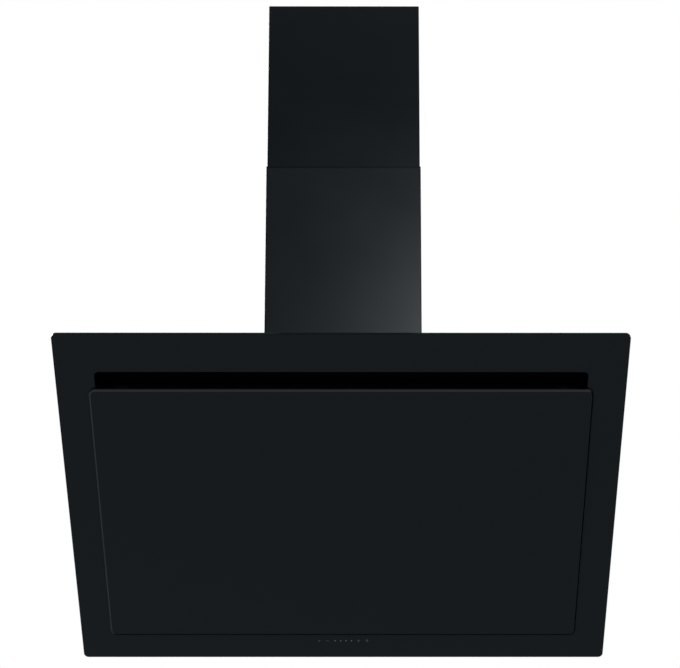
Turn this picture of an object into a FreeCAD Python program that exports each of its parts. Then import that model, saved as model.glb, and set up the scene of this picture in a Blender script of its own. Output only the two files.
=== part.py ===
# Chimney range hood with an inclined black glass front, hung on a kitchen wall.
# The wall is the plane y = 0 and the hood stands out of it towards -Y. X is to the viewer's right, Z is up.
# The origin lies midway between the two hanging holes, on the back of the rear panel.
import FreeCAD, Part
import math
import os
from FreeCAD import Matrix, Placement, Rotation, Vector

# Two working grids are used, and each function says which one its shapes are drawn on.
# Wall grid: x, reach (distance out from the wall) and height (above the glass's bottom edge).
# Glass grid: x, rise (up the glass's slope from its bottom edge) and lift (out of the glass's front face).

# Overall form
GLASS_WIDTH = 890.0
GLASS_LENGTH = 635.0
GLASS_FOOT_REACH = 90.8
TILT = 40.0
SHEET = 1.0

# Front glass and the window behind its flap
GLASS_THICK = 5.0
GLASS_CORNER = 8.0
FLAP_SIDE_BAND = 51.0
FLAP_MARGIN = 53.0
TOP_BAND = 67.0
SLOT_HEIGHT = 30.0
FLAP_THICK = 4.0
FLAP_CORNER = 10.0
FLAP_GAP = 1.5
FLAP_OVERLAP = 10.0
WINDOW_CORNER = 7.0
EDGE_BEVEL = 0.8

# Glass ring, the steel frame bonded to the back of the glass
RING_THICK = 1.5
RING_SETBACK = 1.0
RING_LOW = 14.0
RING_ABOVE_WINDOW = 26.0
RING_INSET = 4.0
RING_SCREW_COUNT = 3
RING_SCREW_LOW = 67.0
RING_SCREW_TOP = 38.0

# Folded steel body
BODY_SIDE_BAND = 40.0
BODY_LOW = 14.0
BODY_BELOW_GLASS = 40.4
FLANGE = 12.0
FRONT_FLANGE = 9.0
HANG_SPACING = 560.0
HANG_BELOW_TOP = 46.0
HANG_HOLE_RADIUS = 4.5
SECURE_ABOVE_LOW = 48.0
SECURE_HOLE_RADIUS = 3.0
HANG_PLATE_WIDTH = 70.0
HANG_PLATE_HEIGHT = 52.0
HANG_PLATE_THICK = 2.0
PANEL_RIB_X = 125.0
PANEL_RIB_WIDTH = 22.0
PANEL_RIB_DEPTH = 3.0
PANEL_RIB_END = 60.0

# Flap tray, hinges and catches
TRAY_FOOT_BAND = 18.0
TRAY_TOP_BAND = 12.0
TRAY_INSET = 9.5
TRAY_DEPTH = 15.5
TRAY_CORNER = 6.0
RIB_WIDTH = 26.0
RIB_DEPTH = 3.0
RIB_END = 50.0
RIB_CORNER = 8.0
PIVOT_BELOW_FLAP = 13.0
PIVOT_DEPTH = 14.0
HINGE_INSET = 36.0
ARM_THICK = 3.0
ARM_WIDTH = 7.0
ARM_DEPTH = 35.0
ARM_BEND = 12.0
ARM_ROOM = 5.8
BARREL_RADIUS = 4.8
PIN_RADIUS = 2.5
PIN_CLEARANCE = 0.06
PIN_HEAD = 1.5
PIN_HEAD_RIM = 1.0
EAR_THICK = 2.0
EAR_GAP = 0.6
BRACKET_BASE = 2.0
BRACKET_TAB = 12.0
BRACKET_EDGE = 3.0
FOOT_WIDTH = 16.0
FOOT_LENGTH = 30.0
FOOT_THICK = 2.5
BUMPER_RADIUS = 3.5
BUMPER_GAP = 0.3
BUMPER_BELOW_TOP = 40.0
BUMPER_FROM_HINGE = 60.0
CATCH_INSET = 24.0
CATCH_BELOW_TOP = 25.0
CATCH_WIDTH = 18.0
CATCH_LENGTH = 32.0
CATCH_CORNER = 4.0
CATCH_GAP = 0.3
MAGNET_WIDTH = 12.0
MAGNET_LENGTH = 24.0
MAGNET_THICK = 4.0

# Grease filters and the frame that carries them
FILTER_SIDE_BAND = 68.0
FILTER_FOOT = 42.0
FILTER_HEAD = 73.0
FILTER_THICK = 9.0
FILTER_GAP = 12.0
FILTER_RAIL = 12.0
FILTER_TOP_RAIL = 34.0
FILTER_CORNER = 4.0
FILTER_LIP = 5.0
FILTER_STEP = 4.0
HOOK_WIDTH = 20.0
CARRIER_DEPTH = 45.0
CARRIER_BORDER = 11.0
CARRIER_FOLD = 14.0
CARRIER_CORNER = 3.0
MESH_THICK = 5.0
MESH_COLUMNS = 6
MESH_ROWS = 8
MESH_STRAND = 8.0
LATCH_WIDTH = 34.0
LATCH_LENGTH = 26.0
LATCH_THICK = 2.0
LATCH_TRAVEL = 7.0
LATCH_REACH = 4.5
LATCH_CLEARANCE = 0.3
KNOB_WIDTH = 22.0
KNOB_LENGTH = 10.0
KNOB_HEIGHT = 5.0
KNOB_CORNER = 3.0

# Scroll housing and its wheel
SCROLL_REAR_GAP = 11.0
SCROLL_TOP_GAP = 18.0
SCROLL_RADIUS = 90.0
SCROLL_GROWTH = 11.0
SCROLL_HALF = 76.0
SCROLL_WALL = 2.5
SEAM_WIDTH = 5.0
SEAM_THICK = 2.0
OUTLET_WIDTH = 108.0
INLET_STEP = 3.0
INLET_LIP = 6.0
INLET_LIP_WALL = 1.5
WHEEL_ROOM = 14.0
WHEEL_GAP = 8.0
WHEEL_DISC = 3.0
WHEEL_RIM = 3.0
BLADE_DEPTH = 12.0
BLADE_INSET = 0.5
BLADE_CURVE = 3.4
BLADE_THICK = 0.8
BLADE_COUNT = 32
BLADE_FLATS = 3
HUB_RADIUS = 11.0
HUB_LENGTH = 24.0

# Motor, its bracket and the inlet guard
SHAFT_RADIUS = 4.0
SHAFT_TAIL = 2.0
FIT_CLEARANCE = 0.05
MOTOR_RADIUS = 42.0
MOTOR_LENGTH = 66.0
MOTOR_BELL = 12.0
MOTOR_BELL_RADIUS = 24.0
BUSH_RADIUS = 8.0
BUSH_LENGTH = 8.0
BUSH_INSET = 1.0
SPIDER_ARMS = 3
SPIDER_THICK = 3.0
SPIDER_WIDTH = 14.0
SPIDER_STAND = 3.5
SPIDER_HUB_RADIUS = 26.0
SPIDER_BORE_RADIUS = 12.0
SPIDER_FOOT = 16.0
GUARD_WIRE = 2.5
GUARD_RINGS = 4
GUARD_SPOKES = 4
GUARD_INNER_RADIUS = 12.0
GUARD_RIM = 4.0

# Outlet adapter and its non-return dampers
ADAPTER_FLANGE = 14.0
ADAPTER_PLATE = 3.0
ADAPTER_CORNER = 5.0
THROAT_EASE = 1.0
ADAPTER_RISE = 25.0
COLLAR_RADIUS = 74.5
COLLAR_WALL = 2.0
COLLAR_LENGTH = 50.0
GASKET_THICK = 1.5
LEDGE_LOW = 2.0
LEDGE_HIGH = 5.0
DAMPER_LEDGE = 3.0
DAMPER_THICK = 1.4
DAMPER_CLEARANCE = 1.0
DAMPER_LIFT = 0.5
DAMPER_SPLIT = 7.0
DAMPER_EDGE = 1.0
DAMPER_KNUCKLE_INSET = 14.0
DAMPER_PIN_RADIUS = 1.5
SCREW_RADIUS = 2.0
SCREW_HEAD = 4.0
SCREW_HEAD_HEIGHT = 2.4
SCREW_TIP = 3.0

# Telescopic chimney
CHIMNEY_WIDTH = 264.4
COLLAR_ROOM = 14.0
LOWER_LENGTH = 378.6
UPPER_SHOWN = 290.8
UPPER_LENGTH = 430.0
CHIMNEY_RETURN = 16.0
CHIMNEY_BEND = 2.0
SLIDE_GAP = 0.5
VENT_ROWS = 4
VENT_LENGTH = 120.0
VENT_HEIGHT = 5.0
VENT_PITCH = 11.0
VENT_FROM_END = 16.0
VENT_CORNER = 1.6
FIX_SPACING = 180.0
FIX_HOLE_RADIUS = 3.0
FIX_BELOW_TOP = 8.0
FIX_STRIP_HEIGHT = 30.0
FIX_STRIP_THICK = 2.0
FIX_SCREW_REACH = 30.0
FIX_SCREW_LENGTH = 8.0
FIX_SCREW_HEAD_HEIGHT = 0.8
FIX_EAR = 12.0
CLIP_HEIGHT = 34.0
CLIP_WIDTH = 40.0
CLIP_FOOT = 24.0
CLIP_THICK = 1.5

# Lamps and touch control
LAMP_INSET = 170.0
LAMP_LENGTH = 96.0
LAMP_WIDTH = 30.0
LAMP_DEPTH = 16.0
LAMP_RIM = 4.0
LAMP_RIM_THICK = 1.5
LAMP_WALL = 2.0
LAMP_ROOM = 3.0
LAMP_BOARD_WIDTH = 16.0
LENS_THICK = 2.0
LENS_RECESS = 0.5
DIODE_COUNT = 6
DIODE_PITCH = 14.0
DIODE_WIDTH = 5.0
DIODE_HEIGHT = 1.2
TOUCH_WIDTH = 180.0
TOUCH_RISE = 34.0
TOUCH_LENGTH = 22.0
TOUCH_STEP = 7.0
TOUCH_EDGE = 1.0
TOUCH_DEPTH = 12.0
TOUCH_CORNER = 2.0

# Electronics on the rear panel
CASE_INSET = 85.0
CASE_WIDTH = 150.0
CASE_HEIGHT = 100.0
CASE_LOW = 170.0
CASE_DEPTH = 38.0
CASE_WALL = 2.0
POST_RADIUS = 3.0
POST_INSET = 8.0
POST_HEIGHT = 8.0
BOARD_THICK = 1.6
BOARD_GAP = 1.0
TRANSFORMER_LEFT = 14.0
TRANSFORMER_LOW = 30.0
TRANSFORMER_WIDTH = 36.0
TRANSFORMER_HEIGHT = 32.0
TRANSFORMER_DEPTH = 18.0
RELAY_COUNT = 2
RELAY_LEFT = 60.0
RELAY_LOW = 20.0
RELAY_PITCH = 20.0
RELAY_WIDTH = 20.0
RELAY_HEIGHT = 12.0
RELAY_DEPTH = 15.0
TERMINAL_RIGHT = 14.0
TERMINAL_LOW = 14.0
TERMINAL_WIDTH = 26.0
TERMINAL_HEIGHT = 66.0
TERMINAL_DEPTH = 12.0
LID_SLOT_COUNT = 6
LID_SLOT_LEFT = 40.0
LID_SLOT_PITCH = 14.0
LID_SLOT_WIDTH = 4.0
LID_SLOT_END = 30.0
CAPACITOR_RADIUS = 16.0
CAPACITOR_LENGTH = 62.0
CAPACITOR_LEFT = 20.0
CAPACITOR_BELOW_CASE = 14.0
CAPACITOR_STAND = 3.0
CAPACITOR_BOSS = 8.0
CAPACITOR_BOSS_RADIUS = 9.6
BAND_WIDTH = 16.0
BAND_WALL = 2.0
BAND_FOOT_LOW = 30.0
BAND_FOOT_HIGH = 12.0
GLAND_INSET = 36.2
GLAND_REACH = 46.0
GLAND_RADIUS = 9.0
GLAND_BORE = 4.0
GLAND_LENGTH = 22.0
GLAND_FLANGE = 4.0
GLAND_FLANGE_THICK = 3.0

# Cutting shapes run past the pieces they cut by this much
OVERRUN = 5.0

# Sizes worked out from those above
SLOPE = math.radians(TILT)
FLAP_WIDTH = GLASS_WIDTH - 2 * FLAP_SIDE_BAND
FLAP_LENGTH = GLASS_LENGTH - TOP_BAND - SLOT_HEIGHT - FLAP_MARGIN
FLAP_TOP = FLAP_MARGIN + FLAP_LENGTH
FLAP_FRONT = FLAP_GAP + FLAP_THICK
WINDOW_WIDTH = FLAP_WIDTH - 2 * FLAP_OVERLAP
WINDOW_LOW = FLAP_MARGIN + FLAP_OVERLAP
WINDOW_TOP = FLAP_TOP + SLOT_HEIGHT
RING_BACK = -(GLASS_THICK + RING_THICK)
BODY_WIDTH = GLASS_WIDTH - 2 * BODY_SIDE_BAND
BODY_TOP = GLASS_LENGTH * math.cos(SLOPE) - BODY_BELOW_GLASS
HANG_HEIGHT = BODY_TOP - HANG_BELOW_TOP
SECURE_HEIGHT = BODY_LOW + SECURE_ABOVE_LOW
TRAY_HALF = WINDOW_WIDTH / 2 - TRAY_INSET
TRAY_LOW = FLAP_MARGIN + TRAY_FOOT_BAND
TRAY_TOP = FLAP_TOP - TRAY_TOP_BAND
TRAY_BACK = FLAP_GAP - TRAY_DEPTH
HINGE_X = TRAY_HALF - HINGE_INSET
PIVOT_RISE = FLAP_MARGIN - PIVOT_BELOW_FLAP
CATCH_X = TRAY_HALF - CATCH_INSET
CATCH_RISE = TRAY_TOP - CATCH_BELOW_TOP
CATCH_TOP = TRAY_BACK - CATCH_GAP
FILTER_WIDTH = WINDOW_WIDTH / 2 - FILTER_SIDE_BAND - FILTER_GAP / 2
FILTER_LOW = FLAP_MARGIN + FILTER_FOOT
FILTER_TOP = WINDOW_TOP - FILTER_HEAD
CARRIER_FACE = -CARRIER_DEPTH
CARRIER_BACK = CARRIER_FACE - SHEET
CARRIER_LOW = FILTER_LOW - CARRIER_BORDER
CARRIER_CEILING = BODY_TOP - 2 * SHEET - FIT_CLEARANCE
CARRIER_TOP = (CARRIER_CEILING + CARRIER_BACK * math.sin(SLOPE)) / math.cos(SLOPE)
FILTER_FACE = CARRIER_FACE + FILTER_THICK
FILTER_BACK = CARRIER_BACK - FILTER_STEP
ARM_LOW_RISE = PIVOT_RISE - ARM_WIDTH / 2
ARM_LOW_LIFT = -PIVOT_DEPTH - ARM_DEPTH
ARM_BACK_REACH = GLASS_FOOT_REACH + ARM_LOW_RISE * math.sin(SLOPE) + ARM_LOW_LIFT * math.cos(SLOPE)
BAFFLE_REACH = ARM_BACK_REACH - ARM_ROOM - SHEET
LAMP_X = BODY_WIDTH / 2 - LAMP_INSET
LAMP_REACH = BAFFLE_REACH - LAMP_ROOM - LAMP_RIM - LAMP_WIDTH / 2
FAN_REACH = SHEET + SCROLL_REAR_GAP + SCROLL_WALL + SCROLL_RADIUS + SCROLL_GROWTH / 2
FAN_HEIGHT = BODY_TOP - SHEET - SCROLL_TOP_GAP - SCROLL_WALL - SCROLL_RADIUS + SCROLL_GROWTH / 2
SCROLL_FRONT = FAN_REACH + SCROLL_GROWTH / 2 + SCROLL_RADIUS + 2 * SCROLL_GROWTH
SCROLL_SIDE = SCROLL_HALF + SCROLL_WALL
OUTLET_BACK = SCROLL_FRONT - OUTLET_WIDTH
OUTLET_REACH = SCROLL_FRONT - OUTLET_WIDTH / 2
WHEEL_RADIUS = SCROLL_RADIUS - WHEEL_ROOM
WHEEL_HALF = SCROLL_HALF - WHEEL_GAP
INLET_RADIUS = WHEEL_RADIUS - BLADE_DEPTH - INLET_STEP
INLET_RIM = INLET_RADIUS + INLET_LIP
MOTOR_END = SCROLL_SIDE + SPIDER_STAND
MOTOR_START = MOTOR_END - MOTOR_LENGTH
SPIDER_SCREW_RADIUS = INLET_RIM + SPIDER_FOOT - SPIDER_WIDTH / 2
ADAPTER_LOW = BODY_TOP + GASKET_THICK
COLLAR_LOW = ADAPTER_LOW + ADAPTER_PLATE + ADAPTER_RISE
COLLAR_TOP = COLLAR_LOW + COLLAR_LENGTH
COLLAR_BORE = COLLAR_RADIUS - COLLAR_WALL
DAMPER_SEAT = COLLAR_LOW + LEDGE_HIGH
DAMPER_LOW = DAMPER_SEAT + DAMPER_LIFT
DAMPER_AXIS_HEIGHT = DAMPER_LOW + DAMPER_THICK + DAMPER_PIN_RADIUS
CHIMNEY_REACH = OUTLET_REACH + COLLAR_RADIUS + COLLAR_ROOM
CHIMNEY_JOINT_HEIGHT = BODY_TOP + LOWER_LENGTH
CHIMNEY_TOP_HEIGHT = CHIMNEY_JOINT_HEIGHT + UPPER_SHOWN
UPPER_WIDTH = CHIMNEY_WIDTH - 2 * (SHEET + SLIDE_GAP)
UPPER_REACH = CHIMNEY_REACH - SHEET - SLIDE_GAP
UPPER_LOW = CHIMNEY_TOP_HEIGHT - UPPER_LENGTH
FIX_HEIGHT = CHIMNEY_TOP_HEIGHT - FIX_BELOW_TOP - FIX_STRIP_HEIGHT / 2
CASE_RIGHT = BODY_WIDTH / 2 - CASE_INSET
CASE_LEFT = CASE_RIGHT - CASE_WIDTH
CASE_TOP = CASE_LOW + CASE_HEIGHT
BOARD_REACH = SHEET + CASE_WALL + POST_HEIGHT
CAPACITOR_HEIGHT = CASE_LOW - CAPACITOR_BELOW_CASE - CAPACITOR_RADIUS
CAPACITOR_REACH = SHEET + CAPACITOR_STAND + CAPACITOR_RADIUS
GLAND_X = CHIMNEY_WIDTH / 2 - GLAND_INSET

GLASS_PLACE = Placement(
    Vector(0, -GLASS_FOOT_REACH, -HANG_HEIGHT), Rotation(Vector(1, 0, 0), 90 + TILT)
).toMatrix()


# Shape helpers

# reach, height, x  ->  x, -reach, height on the wall
REACH_HEIGHT_X = Matrix(0, 0, 1, 0, -1, 0, 0, 0, 0, 1, 0, -HANG_HEIGHT, 0, 0, 0, 1)


def rounded_wire(corners):
    """Closed outline through (u, v) or (u, v, radius) corners, in the plane z = 0."""
    count = len(corners)
    starts, ends, middles = [], [], []
    for i in range(count):
        here = Vector(corners[i][0], corners[i][1], 0)
        before = Vector(corners[i - 1][0], corners[i - 1][1], 0)
        after = Vector(corners[(i + 1) % count][0], corners[(i + 1) % count][1], 0)
        radius = corners[i][2] if len(corners[i]) > 2 else 0
        back = (before - here).normalize()
        on = (after - here).normalize()
        if radius <= 0:
            starts.append(here)
            ends.append(here)
            middles.append(None)
            continue
        half = back.getAngle(on) / 2
        setback = radius / math.tan(half)
        bisector = (back + on).normalize()
        starts.append(here + back * setback)
        ends.append(here + on * setback)
        middles.append(here + bisector * (radius / math.sin(half) - radius))
    edges = []
    for i in range(count):
        if middles[i] is not None:
            edges.append(Part.Arc(starts[i], middles[i], ends[i]).toShape())
        following = starts[(i + 1) % count]
        if (following - ends[i]).Length > 1e-6:
            edges.append(Part.LineSegment(ends[i], following).toShape())
    return Part.Wire(edges)


def prism(corners, low, high):
    """Outline in x and y, raised along z from low to high."""
    face = Part.Face(rounded_wire(corners))
    face.translate(Vector(0, 0, low))
    return face.extrude(Vector(0, 0, high - low))


def rectangle(u0, u1, v0, v1, radius=0):
    return [(u0, v0, radius), (u1, v0, radius), (u1, v1, radius), (u0, v1, radius)]


def slab(x0, x1, y0, y1, z0, z1):
    return Part.makeBox(x1 - x0, y1 - y0, z1 - z0, Vector(x0, y0, z0))


def rod(radius, start, end):
    return Part.makeCylinder(radius, (end - start).Length, start, end - start)


def moved(shape, matrix):
    copy = shape.copy()
    copy.transformShape(matrix, True)
    return copy


def on_glass(shape):
    """From the glass grid to the hood's place on the wall."""
    return moved(shape, GLASS_PLACE)


def glass_box(x0, x1, rise0, rise1, lift0, lift1, radius=0):
    """Block with rounded corners, drawn on the glass grid and not yet moved to the wall."""
    return prism(rectangle(x0, x1, rise0, rise1, radius), lift0, lift1)


def mirrored(shape):
    """The left-hand twin of a right-hand piece."""
    return shape.mirror(Vector(0, 0, 0), Vector(1, 0, 0))


def wall_point(x, reach, height):
    return Vector(x, -reach, height - HANG_HEIGHT)


def wall_slab(x0, x1, reach0, reach1, height0, height1):
    """Block on the wall grid."""
    return slab(x0, x1, -reach1, -reach0, height0 - HANG_HEIGHT, height1 - HANG_HEIGHT)


def wall_rod(radius, start, end):
    """Cylinder between two (x, reach, height) points."""
    return rod(radius, wall_point(*start), wall_point(*end))


def side_prism(corners, x0, x1):
    """Outline in reach and height, extruded sideways from x0 to x1."""
    return moved(prism(corners, x0, x1), REACH_HEIGHT_X)


def plan_prism(corners, height0, height1):
    """Outline in x and reach, raised from height0 to height1."""
    turned = [(corner[0], -corner[1], *corner[2:]) for corner in corners]
    return prism(turned, height0 - HANG_HEIGHT, height1 - HANG_HEIGHT)


def reach_at(height, lift):
    """How far out from the wall the plane at that lift off the glass stands, at a height."""
    return GLASS_FOOT_REACH + height * math.tan(SLOPE) + lift / math.cos(SLOPE)


def fused(shapes):
    whole = shapes[0]
    for shape in shapes[1:]:
        whole = whole.fuse(shape)
    return whole.removeSplitter()


def cut(shape, tools):
    for tool in tools:
        shape = shape.cut(tool)
    return shape


def group(shapes):
    return Part.makeCompound(shapes)


def twins(shape):
    return group([shape, mirrored(shape)])


def screw(tip, seat):
    """Hex-head screw from its tip up to the seat under its head."""
    axis = (seat - tip).normalize()
    turn = Rotation(Vector(0, 0, 1), axis)
    corners = []
    for i in range(6):
        angle = math.radians(60 * i)
        spoke = Vector(SCREW_HEAD * math.cos(angle), SCREW_HEAD * math.sin(angle), 0)
        corners.append(seat + turn.multVec(spoke))
    head = Part.Face(Part.makePolygon(corners + corners[:1])).extrude(axis * SCREW_HEAD_HEIGHT)
    return fused([rod(SCREW_RADIUS, tip, seat), head])


# Glass front


def front_glass():
    """Outer glass pane with the window behind the flap, on the glass grid."""
    half = GLASS_WIDTH / 2
    pane = glass_box(-half, half, 0, GLASS_LENGTH, -GLASS_THICK, 0, GLASS_CORNER)
    window_half = WINDOW_WIDTH / 2
    window = glass_box(
        -window_half, window_half, WINDOW_LOW, WINDOW_TOP, -GLASS_THICK - OVERRUN, OVERRUN, WINDOW_CORNER
    )
    return on_glass(bevelled(pane, 0).cut(window))


def bevelled(pane, face_lift):
    """Grinds the edges of the pane's front face."""
    edges = [e for e in pane.Edges if all(abs(v.Point.z - face_lift) < 1e-6 for v in e.Vertexes)]
    return pane.makeChamfer(EDGE_BEVEL, edges)


def glass_ring():
    """Steel ring bonded to the back of the glass; it screws to the body's front flanges."""
    half = BODY_WIDTH / 2 - RING_INSET
    plate = glass_box(
        -half, half, RING_LOW, WINDOW_TOP + RING_ABOVE_WINDOW, RING_BACK, -GLASS_THICK, GLASS_CORNER
    )
    inner = WINDOW_WIDTH / 2 + RING_SETBACK
    window = glass_box(
        -inner,
        inner,
        WINDOW_LOW - RING_SETBACK,
        WINDOW_TOP + RING_SETBACK,
        RING_BACK - OVERRUN,
        OVERRUN,
        WINDOW_CORNER,
    )
    touch_half = TOUCH_WIDTH / 2 - RING_SETBACK
    touch_window = glass_box(
        -touch_half,
        touch_half,
        TOUCH_RISE - TOUCH_LENGTH / 2,
        TOUCH_RISE + TOUCH_LENGTH / 2,
        RING_BACK - OVERRUN,
        OVERRUN,
    )
    return on_glass(cut(plate, [window, touch_window])).cut(group(ring_screw_rods(FIT_CLEARANCE)))


def ring_screw_points():
    """Where the ring is screwed to the side panels' flanges, in x and rise."""
    x = BODY_WIDTH / 2 - FLANGE / 2 - SHEET
    low = FLAP_MARGIN + RING_SCREW_LOW
    pitch = (FLAP_TOP - RING_SCREW_TOP - low) / (RING_SCREW_COUNT - 1)
    return [(sign * x, low + i * pitch) for i in range(RING_SCREW_COUNT) for sign in (-1, 1)]


def ring_screw_rods(clearance):
    """Round tools for the holes of the screws that join the body's side flanges to the ring."""
    rods = []
    for x, rise in ring_screw_points():
        tip = Vector(x, rise, -GLASS_THICK)
        rods.append(on_glass(rod(SCREW_RADIUS + clearance, Vector(x, rise, RING_BACK - SHEET), tip)))
    return rods


def ring_screws():
    screws = []
    for x, rise in ring_screw_points():
        screws.append(screw(Vector(x, rise, -GLASS_THICK), Vector(x, rise, RING_BACK - SHEET)))
    return on_glass(group(screws))


# Flap with its tray, hinges and catches


def flap_glass():
    half = FLAP_WIDTH / 2
    pane = glass_box(-half, half, FLAP_MARGIN, FLAP_TOP, FLAP_GAP, FLAP_FRONT, FLAP_CORNER)
    return on_glass(bevelled(pane, FLAP_FRONT))


def flap_tray():
    """Folded steel tray bonded to the back of the flap's glass, with its closed back to the filters."""
    outer = glass_box(-TRAY_HALF, TRAY_HALF, TRAY_LOW, TRAY_TOP, TRAY_BACK, FLAP_GAP, TRAY_CORNER)
    inner = glass_box(
        SHEET - TRAY_HALF,
        TRAY_HALF - SHEET,
        TRAY_LOW + SHEET,
        TRAY_TOP - SHEET,
        TRAY_BACK + SHEET,
        FLAP_GAP + OVERRUN,
        TRAY_CORNER - SHEET,
    )
    pan = outer.cut(inner)
    for x in (-TRAY_HALF / 2, 0, TRAY_HALF / 2):
        pan = pan.fuse(rib(x, SHEET, TRAY_BACK + RIB_DEPTH + SHEET)).cut(rib(x, 0, TRAY_BACK + RIB_DEPTH))
    return on_glass(pan.removeSplitter())


def rib(x, grow, top):
    """Block for a rib pressed into the tray's back, up to a lift."""
    half = RIB_WIDTH / 2 + grow
    low = TRAY_LOW + RIB_END - grow
    high = TRAY_TOP - RIB_END + grow
    return glass_box(x - half, x + half, low, high, TRAY_BACK, top, RIB_CORNER + grow)


def flap_bumpers():
    """Four rubber pads that keep the flap's glass off the outer glass."""
    seat_x = FLAP_WIDTH / 2 - FLAP_OVERLAP / 2
    low_rise = FLAP_MARGIN + FLAP_OVERLAP / 2
    pads = []
    for x, rise in ((seat_x, FLAP_TOP - BUMPER_BELOW_TOP), (HINGE_X - BUMPER_FROM_HINGE, low_rise)):
        for sign in (-1, 1):
            foot = Vector(sign * x, rise, BUMPER_GAP)
            pads.append(rod(BUMPER_RADIUS, foot, Vector(sign * x, rise, FLAP_GAP)))
    return on_glass(group(pads))


def hinge_arm():
    """Gooseneck arm of the right-hand hinge: it reaches round the edge of the outer glass."""
    inner_bend = ARM_BEND - ARM_WIDTH
    near = -ARM_WIDTH / 2
    far = TRAY_LOW - PIVOT_RISE + ARM_WIDTH
    pivot_back = TRAY_BACK + PIVOT_DEPTH
    neck = prism(
        [
            (near, 0),
            (near, -ARM_DEPTH, ARM_BEND),
            (far, -ARM_DEPTH, ARM_BEND),
            (far, pivot_back),
            (far - ARM_WIDTH, pivot_back),
            (far - ARM_WIDTH, ARM_WIDTH - ARM_DEPTH, inner_bend),
            (near + ARM_WIDTH, ARM_WIDTH - ARM_DEPTH, inner_bend),
            (near + ARM_WIDTH, 0),
        ],
        -ARM_THICK / 2,
        ARM_THICK / 2,
    )
    barrel = Part.makeCylinder(BARREL_RADIUS, ARM_THICK, Vector(0, 0, -ARM_THICK / 2))
    bore_start = Vector(0, 0, -ARM_THICK / 2 - OVERRUN)
    bore = Part.makeCylinder(PIN_RADIUS + PIN_CLEARANCE, ARM_THICK + 2 * OVERRUN, bore_start)
    arm = fused([neck, barrel]).cut(bore)
    # rise, lift, x  ->  x, rise, lift, with the pin's axis at the hinge line
    turn = Matrix(0, 0, 1, HINGE_X, 1, 0, 0, PIVOT_RISE, 0, 1, 0, -PIVOT_DEPTH, 0, 0, 0, 1)
    arm = moved(arm, turn)
    foot = slab(
        HINGE_X - ARM_THICK / 2 - FOOT_WIDTH,
        HINGE_X + ARM_THICK / 2,
        TRAY_LOW,
        TRAY_LOW + FOOT_LENGTH,
        TRAY_BACK - FOOT_THICK,
        TRAY_BACK,
    )
    return on_glass(fused([arm, foot]))


def hinge_bracket():
    """Fixed bracket with two ears that holds the right-hand hinge pin behind the ring."""
    low = PIVOT_RISE - BARREL_RADIUS
    high = PIVOT_RISE + BARREL_RADIUS
    ear_x = ARM_THICK / 2 + EAR_GAP
    ears = []
    for x0 in (HINGE_X + ear_x, HINGE_X - ear_x - EAR_THICK):
        x1 = x0 + EAR_THICK
        ear = slab(x0, x1, low, high, -PIVOT_DEPTH, RING_BACK)
        nose = rod(
            BARREL_RADIUS, Vector(x0, PIVOT_RISE, -PIVOT_DEPTH), Vector(x1, PIVOT_RISE, -PIVOT_DEPTH)
        )
        ears.append(ear.fuse(nose))
    base_half = ear_x + EAR_THICK + BRACKET_TAB
    base = slab(
        HINGE_X - base_half,
        HINGE_X + base_half,
        low - BRACKET_EDGE,
        high + BRACKET_EDGE,
        RING_BACK - BRACKET_BASE,
        RING_BACK,
    )
    pin_hole = rod(
        PIN_RADIUS + PIN_CLEARANCE,
        Vector(HINGE_X - base_half, PIVOT_RISE, -PIVOT_DEPTH),
        Vector(HINGE_X + base_half, PIVOT_RISE, -PIVOT_DEPTH),
    )
    return on_glass(fused(ears + [base]).cut(pin_hole))


def hinge_pins():
    """Riveted hinge pins, with a head at each end."""
    half = ARM_THICK / 2 + EAR_GAP + EAR_THICK
    end = half + PIN_HEAD
    pin = hinge_rod(PIN_RADIUS, -end, end)
    heads = [hinge_rod(PIN_RADIUS + PIN_HEAD_RIM, x, x + PIN_HEAD) for x in (-end, half)]
    return twins(on_glass(fused([pin] + heads)))


def hinge_rod(radius, x0, x1):
    """Cylinder along the hinge line, between two distances from the middle of the right-hand hinge."""
    start = Vector(HINGE_X + x0, PIVOT_RISE, -PIVOT_DEPTH)
    return rod(radius, start, Vector(HINGE_X + x1, PIVOT_RISE, -PIVOT_DEPTH))


def catch_box(width, length, low, high, radius=0):
    """Block about the middle of the right-hand catch, between two lifts."""
    return glass_box(
        CATCH_X - width / 2,
        CATCH_X + width / 2,
        CATCH_RISE - length / 2,
        CATCH_RISE + length / 2,
        low,
        high,
        radius,
    )


def magnet_holder():
    """Plastic post of the right-hand catch; the steel tray closes on its magnet."""
    post = catch_box(CATCH_WIDTH, CATCH_LENGTH, CARRIER_FACE, CATCH_TOP, CATCH_CORNER)
    pocket = catch_box(MAGNET_WIDTH, MAGNET_LENGTH, CATCH_TOP - MAGNET_THICK, CATCH_TOP + OVERRUN)
    return on_glass(post.cut(pocket))


def catch_magnets():
    gap = 2 * FIT_CLEARANCE
    magnet = catch_box(MAGNET_WIDTH - gap, MAGNET_LENGTH - gap, CATCH_TOP - MAGNET_THICK, CATCH_TOP)
    return twins(on_glass(magnet))


# Folded steel body


def body_side_corners(inset=0.0, radius=0.0):
    """Side profile between the panels, in reach and height, taken in by an inset."""
    low = BODY_LOW + SHEET + inset
    top = BODY_TOP - SHEET - inset
    lift = RING_BACK - inset
    return [
        (SHEET + inset, low, radius),
        (reach_at(low, lift), low, radius),
        (reach_at(top, lift), top, radius),
        (SHEET + inset, top, radius),
    ]


def side_panel():
    """Right-hand side: a tray folded from sheet, with a flange on each of its four edges."""
    outer = BODY_WIDTH / 2
    shell = side_prism(body_side_corners(), outer - FLANGE, outer)
    hollow = side_prism(body_side_corners(SHEET), outer - 2 * FLANGE, outer - SHEET)
    opening = side_prism(body_side_corners(FLANGE), outer - 2 * FLANGE, outer - SHEET)
    return cut(shell, [hollow, opening, group(ring_screw_rods(FIT_CLEARANCE))])


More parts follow.
